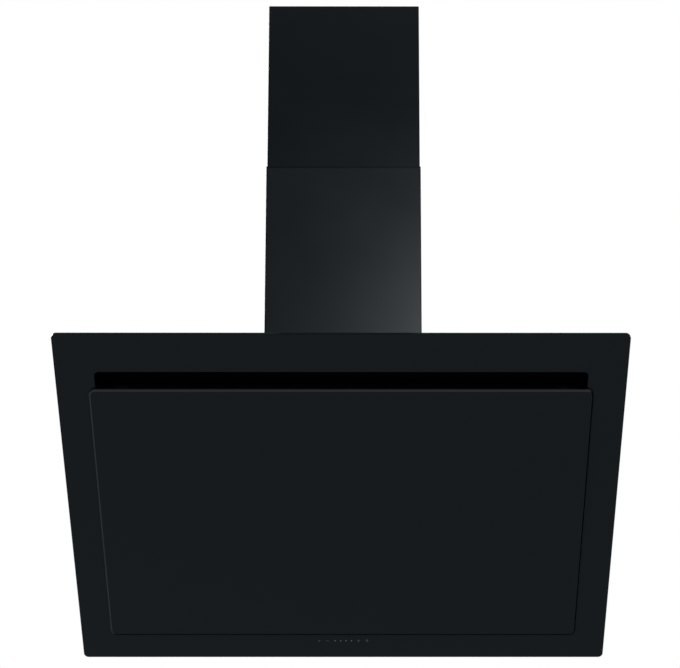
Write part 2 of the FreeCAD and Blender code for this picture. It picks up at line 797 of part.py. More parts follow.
def rear_holes(height, radius):
    start = SHEET + HANG_PLATE_THICK + OVERRUN
    return [
        wall_rod(radius, (x, start, height), (x, -OVERRUN, height))
        for x in (-HANG_SPACING / 2, HANG_SPACING / 2)
    ]


def rear_panel():
    """Back of the body with two pressed ribs, the hanging holes and, below, the securing holes."""
    panel = wall_slab(-BODY_WIDTH / 2, BODY_WIDTH / 2, 0, SHEET, BODY_LOW + SHEET, BODY_TOP - SHEET)
    for x in (-PANEL_RIB_X, PANEL_RIB_X):
        panel = panel.fuse(panel_rib(x, SHEET, 0, PANEL_RIB_DEPTH + SHEET))
        panel = panel.cut(panel_rib(x, 0, -OVERRUN, PANEL_RIB_DEPTH))
    holes = rear_holes(HANG_HEIGHT, HANG_HOLE_RADIUS) + rear_holes(SECURE_HEIGHT, SECURE_HOLE_RADIUS)
    return cut(panel.removeSplitter(), holes)


def panel_rib(x, grow, reach0, reach1):
    """Upright block for a rib pressed into the rear panel."""
    half = PANEL_RIB_WIDTH / 2 + grow
    low = BODY_LOW + PANEL_RIB_END - grow
    high = BODY_TOP - PANEL_RIB_END + grow
    return wall_slab(x - half, x + half, reach0, reach1, low, high)


def hang_plates():
    """Two thick plates that spread the wall bolts' load over the rear panel."""
    plates = []
    for sign in (-1, 1):
        x = sign * HANG_SPACING / 2
        blank = wall_slab(
            x - HANG_PLATE_WIDTH / 2,
            x + HANG_PLATE_WIDTH / 2,
            SHEET,
            SHEET + HANG_PLATE_THICK,
            HANG_HEIGHT - HANG_PLATE_HEIGHT / 2,
            HANG_HEIGHT + HANG_PLATE_HEIGHT / 2,
        )
        plates.append(cut(blank, rear_holes(HANG_HEIGHT, HANG_HOLE_RADIUS)))
    return group(plates)


def front_flange(height0, height1):
    """Strip folded along the body's sloping front, between the side panels' flanges."""
    half = BODY_WIDTH / 2 - FLANGE - FIT_CLEARANCE
    corners = [
        (reach_at(height0, RING_BACK - SHEET), height0),
        (reach_at(height0, RING_BACK), height0),
        (reach_at(height1, RING_BACK), height1),
        (reach_at(height1, RING_BACK - SHEET), height1),
    ]
    return side_prism(corners, -half, half)


def sloped_sheet(height0, height1):
    """Horizontal sheet whose front edge lies on the sloping back of the glass ring."""
    corners = [
        (0, height0),
        (reach_at(height0, RING_BACK), height0),
        (reach_at(height1, RING_BACK), height1),
        (0, height1),
    ]
    return side_prism(corners, -BODY_WIDTH / 2, BODY_WIDTH / 2)


def flange_screw_points():
    """Where the blower, the top panel and the outlet adapter are screwed together."""
    x = SCROLL_SIDE + ADAPTER_FLANGE / 2
    return [
        (sign * x, reach)
        for sign in (-1, 1)
        for reach in (OUTLET_BACK + ADAPTER_FLANGE, SCROLL_FRONT - ADAPTER_FLANGE)
    ]


def screw_holes(low, high):
    radius = SCREW_RADIUS + FIT_CLEARANCE
    return [wall_rod(radius, (x, reach, low), (x, reach, high)) for x, reach in flange_screw_points()]


def top_panel():
    """Top of the body, cut out for the blower's outlet, the cable gland and the screws."""
    sheet = fused([
        sloped_sheet(BODY_TOP - SHEET, BODY_TOP),
        front_flange(BODY_TOP - FLANGE, BODY_TOP - SHEET),
    ])
    low = BODY_TOP - SHEET - OVERRUN
    high = BODY_TOP + OVERRUN
    outlet = wall_slab(-SCROLL_HALF, SCROLL_HALF, OUTLET_BACK, SCROLL_FRONT, low, high)
    gland = wall_rod(
        GLAND_RADIUS + FIT_CLEARANCE, (GLAND_X, GLAND_REACH, low), (GLAND_X, GLAND_REACH, high)
    )
    return cut(sheet, [outlet, gland] + screw_holes(low, high))


def lamp_cutout(x):
    return wall_slab(
        x - LAMP_LENGTH / 2,
        x + LAMP_LENGTH / 2,
        LAMP_REACH - LAMP_WIDTH / 2,
        LAMP_REACH + LAMP_WIDTH / 2,
        BODY_LOW - OVERRUN,
        BODY_LOW + SHEET + OVERRUN,
    )


def bottom_panel():
    """Underside of the body with the two lamp cut-outs."""
    sheet = fused([
        sloped_sheet(BODY_LOW, BODY_LOW + SHEET),
        front_flange(BODY_LOW + SHEET, BODY_LOW + FRONT_FLANGE),
    ])
    return cut(sheet, [lamp_cutout(LAMP_X), lamp_cutout(-LAMP_X)])


# Grease filters


def filter_x():
    """Middle of the right-hand filter."""
    return (FILTER_WIDTH + FILTER_GAP) / 2


def filter_box(side, foot, head, lift0, lift1, radius=0, sign=1):
    """Block inside one filter's outline, in from its sides, its lower edge and its upper edge."""
    half = FILTER_WIDTH / 2 - side
    x = sign * filter_x()
    return glass_box(x - half, x + half, FILTER_LOW + foot, FILTER_TOP - head, lift0, lift1, radius)


def filter_carrier():
    """Sheet partition that the two filters close; it stands between the body's sides."""
    half = BODY_WIDTH / 2 - SHEET - FIT_CLEARANCE
    sheet = glass_box(-half, half, CARRIER_LOW, CARRIER_TOP, CARRIER_BACK, CARRIER_FACE)
    lip = FILTER_LIP
    windows = [
        filter_box(lip, lip, lip, CARRIER_BACK - OVERRUN, CARRIER_FACE + OVERRUN, CARRIER_CORNER, sign)
        for sign in (-1, 1)
    ]
    # folded back under the top panel, between the side panels' flanges
    fold_half = BODY_WIDTH / 2 - FLANGE - FIT_CLEARANCE
    fold_back = reach_at(CARRIER_CEILING, CARRIER_FACE) - CARRIER_FOLD
    fold = side_prism(
        [
            (fold_back, CARRIER_CEILING - SHEET),
            (reach_at(CARRIER_CEILING - SHEET, CARRIER_FACE - SHEET / 2), CARRIER_CEILING - SHEET),
            (reach_at(CARRIER_CEILING, CARRIER_BACK), CARRIER_CEILING),
            (fold_back, CARRIER_CEILING),
        ],
        -fold_half,
        fold_half,
    )
    return fused([on_glass(cut(sheet, windows)), fold])


def lower_baffle():
    """Folded sheet from the carrier's lower edge down to the bottom panel, round the hinges' path."""
    shelf = CARRIER_LOW * math.cos(SLOPE) - CARRIER_FACE * math.sin(SLOPE)
    front = reach_at(shelf, CARRIER_FACE) - FIT_CLEARANCE
    corners = [
        (BAFFLE_REACH, BODY_LOW + SHEET),
        (BAFFLE_REACH + SHEET, BODY_LOW + SHEET),
        (BAFFLE_REACH + SHEET, shelf - SHEET, SHEET / 2),
        (front, shelf - SHEET),
        (front, shelf),
        (BAFFLE_REACH, shelf, SHEET + SHEET / 2),
    ]
    half = BODY_WIDTH / 2 - FLANGE - FIT_CLEARANCE
    return side_prism(corners, -half, half)


def latch_middle():
    """Middle of the latch along the filter, inside its top rail."""
    return FILTER_TOP - FILTER_LIP - LATCH_LENGTH / 2


def latch_box(width, foot, head, lift0, lift1, radius=0):
    """Block about the middle of the right-hand latch, from foot below it to head above it."""
    return glass_box(
        filter_x() - width / 2,
        filter_x() + width / 2,
        latch_middle() - foot,
        latch_middle() + head,
        lift0,
        lift1,
        radius,
    )


def filter_frame():
    """Frame of the right-hand filter: rails round the mesh, and a step that fits the carrier's window."""
    inset = FILTER_LIP + LATCH_CLEARANCE
    rim = filter_box(0, 0, 0, CARRIER_FACE, FILTER_FACE, FILTER_CORNER)
    step = filter_box(inset, inset, inset, FILTER_BACK, CARRIER_FACE, CARRIER_CORNER)
    rail = FILTER_RAIL
    window = filter_box(
        rail, rail, FILTER_TOP_RAIL, FILTER_BACK - OVERRUN, FILTER_FACE + OVERRUN, FILTER_CORNER / 2
    )
    play = LATCH_CLEARANCE
    latch_foot = LATCH_LENGTH / 2 + LATCH_TRAVEL + play
    latch_low = CARRIER_BACK - play - LATCH_THICK - play
    pocket = latch_box(
        LATCH_WIDTH + 2 * play, latch_foot, FILTER_TOP - latch_middle(), latch_low, CARRIER_BACK
    )
    knob_slot = latch_box(
        KNOB_WIDTH + 2 * play,
        KNOB_LENGTH / 2 + LATCH_TRAVEL + play,
        KNOB_LENGTH / 2 + play,
        CARRIER_BACK - play,
        FILTER_FACE + OVERRUN,
    )
    hooks = []
    for x in (filter_x() - FILTER_WIDTH / 4, filter_x() + FILTER_WIDTH / 4):
        hooks.append(
            slab(
                x - HOOK_WIDTH / 2,
                x + HOOK_WIDTH / 2,
                FILTER_LOW + FILTER_LIP - LATCH_REACH,
                FILTER_LOW + FILTER_RAIL,
                FILTER_BACK,
                CARRIER_BACK - LATCH_CLEARANCE,
            )
        )
    return on_glass(cut(fused([rim, step] + hooks), [window, pocket, knob_slot]))


def filter_mesh():
    """Expanded aluminium mesh of the right-hand filter, as a lattice with diamond openings."""
    low = FILTER_LOW + FILTER_RAIL
    top = FILTER_TOP - FILTER_TOP_RAIL
    left = filter_x() - FILTER_WIDTH / 2 + FILTER_RAIL
    width = FILTER_WIDTH - 2 * FILTER_RAIL
    back = CARRIER_FACE + (FILTER_THICK - MESH_THICK) / 2
    front = back + MESH_THICK
    sheet = filter_box(FILTER_RAIL, FILTER_RAIL, FILTER_TOP_RAIL, back, front, FILTER_CORNER / 2)
    pitch_x = width / MESH_COLUMNS
    pitch_y = (top - low) / MESH_ROWS
    across = pitch_x / 2 - MESH_STRAND / 2
    along = pitch_y / 2 - MESH_STRAND / 2
    holes = []
    for column in range(MESH_COLUMNS):
        for row in range(MESH_ROWS):
            x = left + (column + 0.5) * pitch_x
            y = low + (row + 0.5) * pitch_y
            diamond = [(x - across, y), (x, y - along), (x + across, y), (x, y + along)]
            holes.append(prism(diamond, back - OVERRUN, front + OVERRUN))
    return on_glass(sheet.cut(group(holes)))


def filter_latch():
    """Spring latch in the right-hand filter's top rail: its tongue holds behind the carrier."""
    face = CARRIER_BACK - LATCH_CLEARANCE
    half = LATCH_LENGTH / 2
    blade = latch_box(LATCH_WIDTH, half, half + LATCH_REACH, face - LATCH_THICK, face)
    knob = latch_box(
        KNOB_WIDTH,
        KNOB_LENGTH / 2,
        KNOB_LENGTH / 2,
        face - LATCH_THICK,
        FILTER_FACE + KNOB_HEIGHT,
        KNOB_CORNER,
    )
    return on_glass(fused([blade, knob]))


# Blower


def scroll_centres():
    """Centres of the three quarter arcs that make the scroll's spiral, in reach and height."""
    half = SCROLL_GROWTH / 2
    return [
        (FAN_REACH - half, FAN_HEIGHT - half),
        (FAN_REACH + half, FAN_HEIGHT - half),
        (FAN_REACH + half, FAN_HEIGHT + half),
    ]


def scroll_face(offset, top):
    """Face of the scroll's profile grown by an offset, closed across its outlet at a height."""
    centres = scroll_centres()
    radii = [SCROLL_RADIUS + offset + i * SCROLL_GROWTH for i in range(3)]
    back = OUTLET_BACK - offset
    front = SCROLL_FRONT + offset
    start_angle = math.degrees(math.acos((back - centres[0][0]) / radii[0]))
    edges = []
    for i, start in enumerate((start_angle, 180, 270)):
        end = 180 + 90 * i
        edges.append(arc_edge(centres[i], radii[i], start, end))
    first = Vector(back, centres[0][1] + radii[0] * math.sin(math.radians(start_angle)), 0)
    last = Vector(front, centres[2][1], 0)
    corners = [last, Vector(front, top, 0), Vector(back, top, 0), first]
    for a, b in zip(corners, corners[1:]):
        edges.append(Part.LineSegment(a, b).toShape())
    return Part.Face(Part.Wire(Part.__sortEdges__(edges)))


def arc_edge(centre, radius, start, end):
    points = []
    for angle in (start, (start + end) / 2, end):
        turn = math.radians(angle)
        points.append(Vector(centre[0] + radius * math.cos(turn), centre[1] + radius * math.sin(turn), 0))
    return Part.Arc(*points).toShape()


def scroll_prism(offset, top, x0, x1):
    """Scroll profile between two distances from the middle."""
    face = scroll_face(offset, top)
    face.translate(Vector(0, 0, x0))
    return moved(face.extrude(Vector(0, 0, x1 - x0)), REACH_HEIGHT_X)


def about_fan_axis(profile):
    """Turns an (x, radius) profile round the fan's axis."""
    points = [Vector(x, 0, radius) for x, radius in profile]
    face = Part.Face(Part.makePolygon(points + points[:1]))
    ring = face.revolve(Vector(0, 0, 0), Vector(1, 0, 0), 360)
    ring.translate(wall_point(0, FAN_REACH, FAN_HEIGHT))
    return ring


def fan_ring(x0, x1, inner, outer):
    """Flat ring about the fan's axis."""
    return about_fan_axis([(x0, inner), (x0, outer), (x1, outer), (x1, inner)])


def about_fan(shape, angle):
    """Turns a shape about the x axis, then moves it to the fan's axis."""
    copy = shape.copy()
    copy.rotate(Vector(0, 0, 0), Vector(1, 0, 0), angle)
    copy.translate(wall_point(0, FAN_REACH, FAN_HEIGHT))
    return copy


def scroll_half():
    """Right-hand half of the scroll housing: seam flange, inlet with a rolled lip, outlet flange."""
    top = BODY_TOP - SHEET
    outer = scroll_prism(SCROLL_WALL, top, 0, SCROLL_SIDE)
    seam = scroll_prism(SCROLL_WALL + SEAM_WIDTH, top - ADAPTER_PLATE, 0, SEAM_THICK)
    flange = wall_slab(
        0,
        SCROLL_SIDE + ADAPTER_FLANGE,
        OUTLET_BACK - SCROLL_WALL,
        SCROLL_FRONT + SCROLL_WALL + ADAPTER_FLANGE / 2,
        top - ADAPTER_PLATE,
        top,
    )
    hollow = scroll_prism(0, top + OVERRUN, -OVERRUN, SCROLL_HALF)
    inlet = wall_rod(
        INLET_RIM,
        (SCROLL_HALF - OVERRUN, FAN_REACH, FAN_HEIGHT),
        (SCROLL_SIDE + OVERRUN, FAN_REACH, FAN_HEIGHT),
    )
    lip = about_fan_axis([
        (SCROLL_SIDE, INLET_RIM + INLET_LIP_WALL),
        (SCROLL_SIDE, INLET_RIM - INLET_LIP / 2),
        (SCROLL_SIDE - INLET_LIP, INLET_RADIUS),
        (SCROLL_SIDE - INLET_LIP, INLET_RADIUS + INLET_LIP_WALL),
        (SCROLL_HALF, INLET_RIM + INLET_LIP_WALL),
    ])
    holes = screw_holes(top - ADAPTER_PLATE - OVERRUN, top + OVERRUN)
    shell = cut(fused([outer, seam, flange]), [hollow, inlet] + holes)
    return cut(fused([shell, lip]), motor_screw_rods(FIT_CLEARANCE))


def blade(x0, x1):
    """One forward-curved blade of the wheel, drawn at the top of the wheel in a few flats."""
    outer = WHEEL_RADIUS - BLADE_INSET
    half = BLADE_THICK / 2
    line = []
    for i in range(BLADE_FLATS + 1):
        share = i / BLADE_FLATS
        line.append((4 * BLADE_CURVE * share * (1 - share), outer - BLADE_DEPTH * (1 - share)))
    section = [(u - half, v) for u, v in line] + [(u + half, v) for u, v in reversed(line)]
    # across, radius, x  ->  x, -across, radius
    turn = Matrix(0, 0, 1, 0, -1, 0, 0, 0, 0, 1, 0, 0, 0, 0, 0, 1)
    return moved(prism(section, x0, x1), turn)


def blower_wheel():
    """Double-inlet wheel: a middle disc on a hub, two end rings and a row of blades right across."""
    bore = SHAFT_RADIUS + FIT_CLEARANCE
    disc = about_fan_axis([
        (-WHEEL_DISC / 2, bore),
        (-WHEEL_DISC / 2, WHEEL_RADIUS),
        (WHEEL_DISC / 2, WHEEL_RADIUS),
        (WHEEL_DISC / 2, HUB_RADIUS),
        (HUB_LENGTH / 2, HUB_RADIUS),
        (HUB_LENGTH / 2, bore),
    ])
    rim_inner = WHEEL_RADIUS - BLADE_DEPTH / 2
    inside = WHEEL_HALF - WHEEL_RIM
    rims = [
        fan_ring(-WHEEL_HALF, -inside, rim_inner, WHEEL_RADIUS),
        fan_ring(inside, WHEEL_HALF, rim_inner, WHEEL_RADIUS),
    ]
    one = blade(-inside, inside)
    blades = [about_fan(one, i * 360 / BLADE_COUNT) for i in range(BLADE_COUNT)]
    return disc.multiFuse(rims + blades)


def motor_shaft():
    end = MOTOR_END + SHAFT_TAIL
    return wall_rod(SHAFT_RADIUS, (-HUB_LENGTH / 2, FAN_REACH, FAN_HEIGHT), (end, FAN_REACH, FAN_HEIGHT))


def motor_body():
    """Motor inside the wheel's right-hand side, with tapered end bells and a seat for each bush."""
    bore = BUSH_RADIUS + FIT_CLEARANCE
    return about_fan_axis([
        (MOTOR_START, bore),
        (MOTOR_START, MOTOR_BELL_RADIUS),
        (MOTOR_START + MOTOR_BELL, MOTOR_RADIUS),
        (MOTOR_END - MOTOR_BELL, MOTOR_RADIUS),
        (MOTOR_END, MOTOR_BELL_RADIUS),
        (MOTOR_END, bore),
    ])


def motor_bushes():
    """Two sintered bushes that carry the shaft in the motor's end bells."""
    bushes = []
    for x in (MOTOR_START + BUSH_INSET, MOTOR_END - BUSH_INSET - BUSH_LENGTH):
        bushes.append(fan_ring(x, x + BUSH_LENGTH, SHAFT_RADIUS + PIN_CLEARANCE, BUSH_RADIUS))
    return group(bushes)


def spider_angle(index):
    return 180 + index * 360 / SPIDER_ARMS


def motor_bracket():
    """Pressed bracket whose arms hold the motor in the right-hand inlet."""
    face = MOTOR_END + SPIDER_THICK
    hub = fan_ring(MOTOR_END, face, SPIDER_BORE_RADIUS, SPIDER_HUB_RADIUS)
    half = SPIDER_WIDTH / 2
    reach = INLET_RIM + SPIDER_FOOT
    bar = slab(MOTOR_END, face, -half, half, SPIDER_HUB_RADIUS - SPIDER_THICK, reach)
    leg = slab(SCROLL_SIDE, face, -half, half, reach - SPIDER_WIDTH, reach)
    arm = bar.fuse(leg)
    arms = [about_fan(arm, spider_angle(i)) for i in range(SPIDER_ARMS)]
    return fused([hub] + arms).cut(group(motor_screw_rods(FIT_CLEARANCE)))


def motor_screw_rods(clearance):
    """Round tools for the screws that join the motor bracket's legs to the scroll housing."""
    tip = Vector(SCROLL_HALF, 0, SPIDER_SCREW_RADIUS)
    end = Vector(MOTOR_END + SPIDER_THICK, 0, SPIDER_SCREW_RADIUS)
    shank = rod(SCREW_RADIUS + clearance, tip, end)
    return [about_fan(shank, spider_angle(i)) for i in range(SPIDER_ARMS)]


def motor_screws():
    tip = Vector(SCROLL_HALF, 0, SPIDER_SCREW_RADIUS)
    one = screw(tip, Vector(MOTOR_END + SPIDER_THICK, 0, SPIDER_SCREW_RADIUS))
    return group([about_fan(one, spider_angle(i)) for i in range(SPIDER_ARMS)])


def inlet_guard():
    """Moulded finger guard over the left-hand inlet: rings joined by spokes."""
    face = -SCROLL_SIDE - GUARD_WIRE
    half = GUARD_WIRE / 2
    outer = INLET_RIM + GUARD_RIM
    rings = []
    for i in range(GUARD_RINGS):
        radius = GUARD_INNER_RADIUS + i * (outer - GUARD_INNER_RADIUS) / (GUARD_RINGS - 1)
        rings.append(fan_ring(face, -SCROLL_SIDE, radius - half, radius + half))
    spoke = slab(face, -SCROLL_SIDE, -half, half, GUARD_INNER_RADIUS, outer)
    spokes = [about_fan(spoke, i * 360 / GUARD_SPOKES) for i in range(GUARD_SPOKES)]
    return fused(rings + spokes)


# Outlet adapter and dampers


def throat(grow, low, high):
    """Square-to-round throat, grown by a wall: four flat sides with a cone for their corners."""
    half = SCROLL_HALF + grow
    deep = OUTLET_WIDTH / 2 + grow
    round_end = COLLAR_BORE + grow
    flat_end = round_end + THROAT_EASE
    rise = high - low
    flats = Part.makeWedge(
        -half, 0, -deep, -flat_end, -flat_end, half, rise, deep, flat_end, flat_end
    )
    flats.rotate(Vector(0, 0, 0), Vector(1, 0, 0), 90)
    corners = Part.makeCone(math.hypot(half, deep), round_end, rise)
    shape = flats.common(corners)
    shape.translate(wall_point(0, OUTLET_REACH, low))
    return shape


def outlet_plate(low, high):
    """Flat flange round the blower's outlet, between two heights."""
    half = SCROLL_SIDE + ADAPTER_FLANGE
    edge = SCROLL_WALL + ADAPTER_FLANGE / 2
    corners = rectangle(-half, half, OUTLET_BACK - edge, SCROLL_FRONT + edge, ADAPTER_CORNER)
    return cut(plan_prism(corners, low, high), screw_holes(low - OVERRUN, high + OVERRUN))


def outlet_duct(low, high):
    """Block of the blower's rectangular outlet, to cut it out of the pieces above."""
    return wall_slab(-SCROLL_HALF, SCROLL_HALF, OUTLET_BACK, SCROLL_FRONT, low, high)


def outlet_gasket():
    """Foam gasket between the top panel and the adapter."""
    return outlet_plate(BODY_TOP, ADAPTER_LOW).cut(outlet_duct(BODY_TOP - OVERRUN, ADAPTER_LOW + OVERRUN))


def collar_rod(radius, low, high):
    """Cylinder about the duct collar's axis."""
    return wall_rod(radius, (0, OUTLET_REACH, low), (0, OUTLET_REACH, high))


def outlet_adapter():
    """Moulded adapter from the blower's square outlet to the round duct collar, with the damper ledge."""
    plate_top = ADAPTER_LOW + ADAPTER_PLATE
    plate = outlet_plate(ADAPTER_LOW, plate_top).cut(outlet_duct(ADAPTER_LOW - OVERRUN, plate_top))
    funnel = throat(COLLAR_WALL, plate_top, COLLAR_LOW).cut(throat(0, plate_top, COLLAR_LOW))
    collar = collar_rod(COLLAR_RADIUS, COLLAR_LOW, COLLAR_TOP)
    collar = collar.cut(collar_rod(COLLAR_BORE, COLLAR_LOW - OVERRUN, COLLAR_TOP + OVERRUN))
    ledge_low = COLLAR_LOW + LEDGE_LOW
    ledge = collar_rod(COLLAR_BORE, ledge_low, DAMPER_SEAT)
    ledge = ledge.cut(collar_rod(COLLAR_BORE - DAMPER_LEDGE, ledge_low - OVERRUN, DAMPER_SEAT + OVERRUN))
    bar_half = COLLAR_RADIUS - COLLAR_WALL / 2
    bar = wall_slab(
        -bar_half,
        bar_half,
        OUTLET_REACH - DAMPER_SPLIT - DAMPER_EDGE,
        OUTLET_REACH + DAMPER_SPLIT + DAMPER_EDGE,
        ledge_low,
        DAMPER_SEAT,
    )
    pin_holes = [
        damper_rod(sign, DAMPER_PIN_RADIUS + PIN_CLEARANCE, COLLAR_RADIUS + OVERRUN) for sign in (-1, 1)
    ]
    return cut(fused([plate, funnel, collar, ledge, bar]), pin_holes)


def damper_rod(sign, radius, half):
    """Cylinder along a damper's hinge line; sign -1 is the one nearer the wall."""
    reach = OUTLET_REACH + sign * DAMPER_SPLIT
    return wall_rod(radius, (-half, reach, DAMPER_AXIS_HEIGHT), (half, reach, DAMPER_AXIS_HEIGHT))


def damper(sign):
    """Half-round damper; sign -1 is the one nearer the wall, +1 the one nearer the room."""
    radius = COLLAR_BORE - DAMPER_CLEARANCE
    disc = collar_rod(radius, DAMPER_LOW, DAMPER_LOW + DAMPER_THICK)
    near = OUTLET_REACH + sign * (DAMPER_SPLIT - DAMPER_EDGE)
    far = OUTLET_REACH + sign * radius
    leaf = disc.common(
        wall_slab(-radius, radius, min(near, far), max(near, far), DAMPER_LOW, DAMPER_LOW + DAMPER_THICK)
    )
    half_pin = math.sqrt((COLLAR_RADIUS - COLLAR_WALL / 2) ** 2 - DAMPER_SPLIT**2)
    pin = damper_rod(sign, DAMPER_PIN_RADIUS, half_pin)
    axis_reach = OUTLET_REACH + sign * DAMPER_SPLIT
    knuckle_half = radius - DAMPER_KNUCKLE_INSET
    knuckle = wall_slab(
        -knuckle_half,
        knuckle_half,
        axis_reach - DAMPER_PIN_RADIUS,
        axis_reach + DAMPER_PIN_RADIUS,
        DAMPER_LOW,
        DAMPER_AXIS_HEIGHT,
    )
    return fused([leaf, pin, knuckle])


def outlet_screws():
    """Four screws through the adapter, the gasket, the top panel and the blower's flange."""
    seat = ADAPTER_LOW + ADAPTER_PLATE
    tip = BODY_TOP - SHEET - ADAPTER_PLATE - SCREW_TIP
    return group([
        screw(wall_point(x, reach, tip), wall_point(x, reach, seat)) for x, reach in flange_screw_points()
    ])


# Chimney


def chimney_channel(width, reach, back, low, high):
    """Three-sided sheet cover with a return along each rear edge, its back at a given reach."""
    half = width / 2
    bend = CHIMNEY_BEND
    outer = plan_prism([(-half, back), (half, back), (half, reach, bend), (-half, reach, bend)], low, high)
    inside = half - SHEET
    inner = plan_prism(
        [
            (-inside, back + SHEET),
            (inside, back + SHEET),
            (inside, reach - SHEET, bend - SHEET),
            (-inside, reach - SHEET, bend - SHEET),
        ],
        low - OVERRUN,
        high + OVERRUN,
    )
    gap = half - CHIMNEY_RETURN
    mouth = wall_slab(-gap, gap, back - OVERRUN, back + SHEET + OVERRUN, low - OVERRUN, high + OVERRUN)
    return cut(outer, [inner, mouth])


def lower_chimney():
    return chimney_channel(CHIMNEY_WIDTH, CHIMNEY_REACH, 0, BODY_TOP, CHIMNEY_JOINT_HEIGHT)


def upper_chimney():
    """Inner cover that slides in the lower one, with the air slots of its lower end turned down."""
    channel = chimney_channel(
        UPPER_WIDTH, UPPER_REACH, SHEET + SLIDE_GAP, UPPER_LOW, CHIMNEY_TOP_HEIGHT
    )
    left = (UPPER_REACH - VENT_LENGTH) / 2
    right = left + VENT_LENGTH
    ease = VENT_CORNER
    slots = []
    for row in range(VENT_ROWS):
        low = UPPER_LOW + VENT_FROM_END + row * VENT_PITCH
        high = low + VENT_HEIGHT
        corners = [
            (left, low + ease),
            (left + ease, low),
            (right - ease, low),
            (right, low + ease),
            (right, high - ease),
            (right - ease, high),
            (left + ease, high),
            (left, high - ease),
        ]
        slots.append(side_prism(corners, -UPPER_WIDTH, UPPER_WIDTH))
    return cut(channel, slots + [fix_rod(SCREW_RADIUS + FIT_CLEARANCE, -UPPER_WIDTH, UPPER_WIDTH)])


def fix_rod(radius, x0, x1):
    """Cylinder along the line of the screws that hold the upper chimney to its wall strip."""
    return wall_rod(radius, (x0, FIX_SCREW_REACH, FIX_HEIGHT), (x1, FIX_SCREW_REACH, FIX_HEIGHT))


def chimney_strip():
    """Wall strip inside the upper chimney: a flat bar with an ear turned out along each side."""
    low = FIX_HEIGHT - FIX_STRIP_HEIGHT / 2
    high = FIX_HEIGHT + FIX_STRIP_HEIGHT / 2
    half = UPPER_WIDTH / 2 - SHEET - FIT_CLEARANCE
    back = SHEET + SLIDE_GAP + SHEET + FIT_CLEARANCE
    bar = wall_slab(-half, half, back, back + FIX_STRIP_THICK, low, high)
    pad_half = UPPER_WIDTH / 2 - CHIMNEY_RETURN - SHEET
    pad = wall_slab(-pad_half, pad_half, 0, back, low, high)
    ear = wall_slab(half - FIX_STRIP_THICK, half, back, FIX_SCREW_REACH + FIX_EAR, low, high)
    holes = [fix_rod(SCREW_RADIUS + FIT_CLEARANCE, -UPPER_WIDTH, UPPER_WIDTH)]
    for x in (-FIX_SPACING / 2, FIX_SPACING / 2):
        end = back + FIX_STRIP_THICK + OVERRUN
        holes.append(wall_rod(FIX_HOLE_RADIUS, (x, -OVERRUN, FIX_HEIGHT), (x, end, FIX_HEIGHT)))
    return cut(fused([bar, pad, ear, mirrored(ear)]), holes)


def chimney_screws():
    """Two low-headed screws that hold the upper chimney to its wall strip."""
    half = UPPER_WIDTH / 2
    shank = fix_rod(SCREW_RADIUS, half - FIX_SCREW_LENGTH, half)
    head = fix_rod(SCREW_HEAD, half, half + FIX_SCREW_HEAD_HEIGHT)
    return twins(fused([shank, head]))


def chimney_clips():
    """Two angles on the top panel that locate the lower chimney's sides."""
    outside = CHIMNEY_WIDTH / 2 - SHEET - FIT_CLEARANCE
    near = (CHIMNEY_REACH - CLIP_WIDTH) / 2
    far = near + CLIP_WIDTH
    foot = wall_slab(outside - CLIP_FOOT, outside, near, far, BODY_TOP, BODY_TOP + CLIP_THICK)
    upright = wall_slab(outside - CLIP_THICK, outside, near, far, BODY_TOP, BODY_TOP + CLIP_HEIGHT)
    return twins(fused([foot, upright]))


# Lamps, touch control and electronics


def lamp_box(inset, low, high):
    """Block inside the right-hand lamp's cut-out, in from its edges, between two heights."""
    half = LAMP_LENGTH / 2 - inset
    deep = LAMP_WIDTH / 2 - inset
    return wall_slab(LAMP_X - half, LAMP_X + half, LAMP_REACH - deep, LAMP_REACH + deep, low, high)


def lamp_case():
    """Right-hand lamp: moulded case that drops into the bottom panel and rests on its rim."""
    floor = BODY_LOW + SHEET
    top = floor + LAMP_DEPTH
    play = LATCH_CLEARANCE
    body = lamp_box(play, BODY_LOW, top)
    rim = lamp_box(play - LAMP_RIM, floor, floor + LAMP_RIM_THICK)
    hollow = lamp_box(play + LAMP_WALL, BODY_LOW - OVERRUN, top - LAMP_WALL)
    return fused([body, rim]).cut(hollow)


def lamp_boards():
    """Strip of light-emitting diodes inside each lamp."""
    ceiling = BODY_LOW + SHEET + LAMP_DEPTH - LAMP_WALL
    under = ceiling - BOARD_THICK
    half = LAMP_LENGTH / 2 - LATCH_CLEARANCE - 2 * LAMP_WALL
    deep = LAMP_BOARD_WIDTH / 2
    board = wall_slab(LAMP_X - half, LAMP_X + half, LAMP_REACH - deep, LAMP_REACH + deep, under, ceiling)
    side = DIODE_WIDTH / 2
    diodes = []
    for i in range(DIODE_COUNT):
        x = LAMP_X + (i - (DIODE_COUNT - 1) / 2) * DIODE_PITCH
        diodes.append(
            wall_slab(x - side, x + side, LAMP_REACH - side, LAMP_REACH + side, under - DIODE_HEIGHT, under)
        )
    return twins(fused([board] + diodes))


def lamp_lens():
    low = BODY_LOW + LENS_RECESS
    return lamp_box(LATCH_CLEARANCE + LAMP_WALL + FIT_CLEARANCE, low, low + LENS_THICK)


def touch_module():
    """Plastic tray with the touch sensors, pressed to the glass through the ring's window."""
    half = TOUCH_WIDTH / 2
    low = TOUCH_RISE - TOUCH_LENGTH / 2 + FIT_CLEARANCE
    high = TOUCH_RISE + TOUCH_LENGTH / 2 - FIT_CLEARANCE
    nose_half = half - RING_SETBACK - FIT_CLEARANCE
    nose = slab(-nose_half, nose_half, low, high, RING_BACK, -GLASS_THICK)
    tray = glass_box(
        -half, half, low + TOUCH_STEP, high - TOUCH_EDGE, RING_BACK - TOUCH_DEPTH, RING_BACK, TOUCH_CORNER
    )
    return on_glass(fused([nose, tray]))


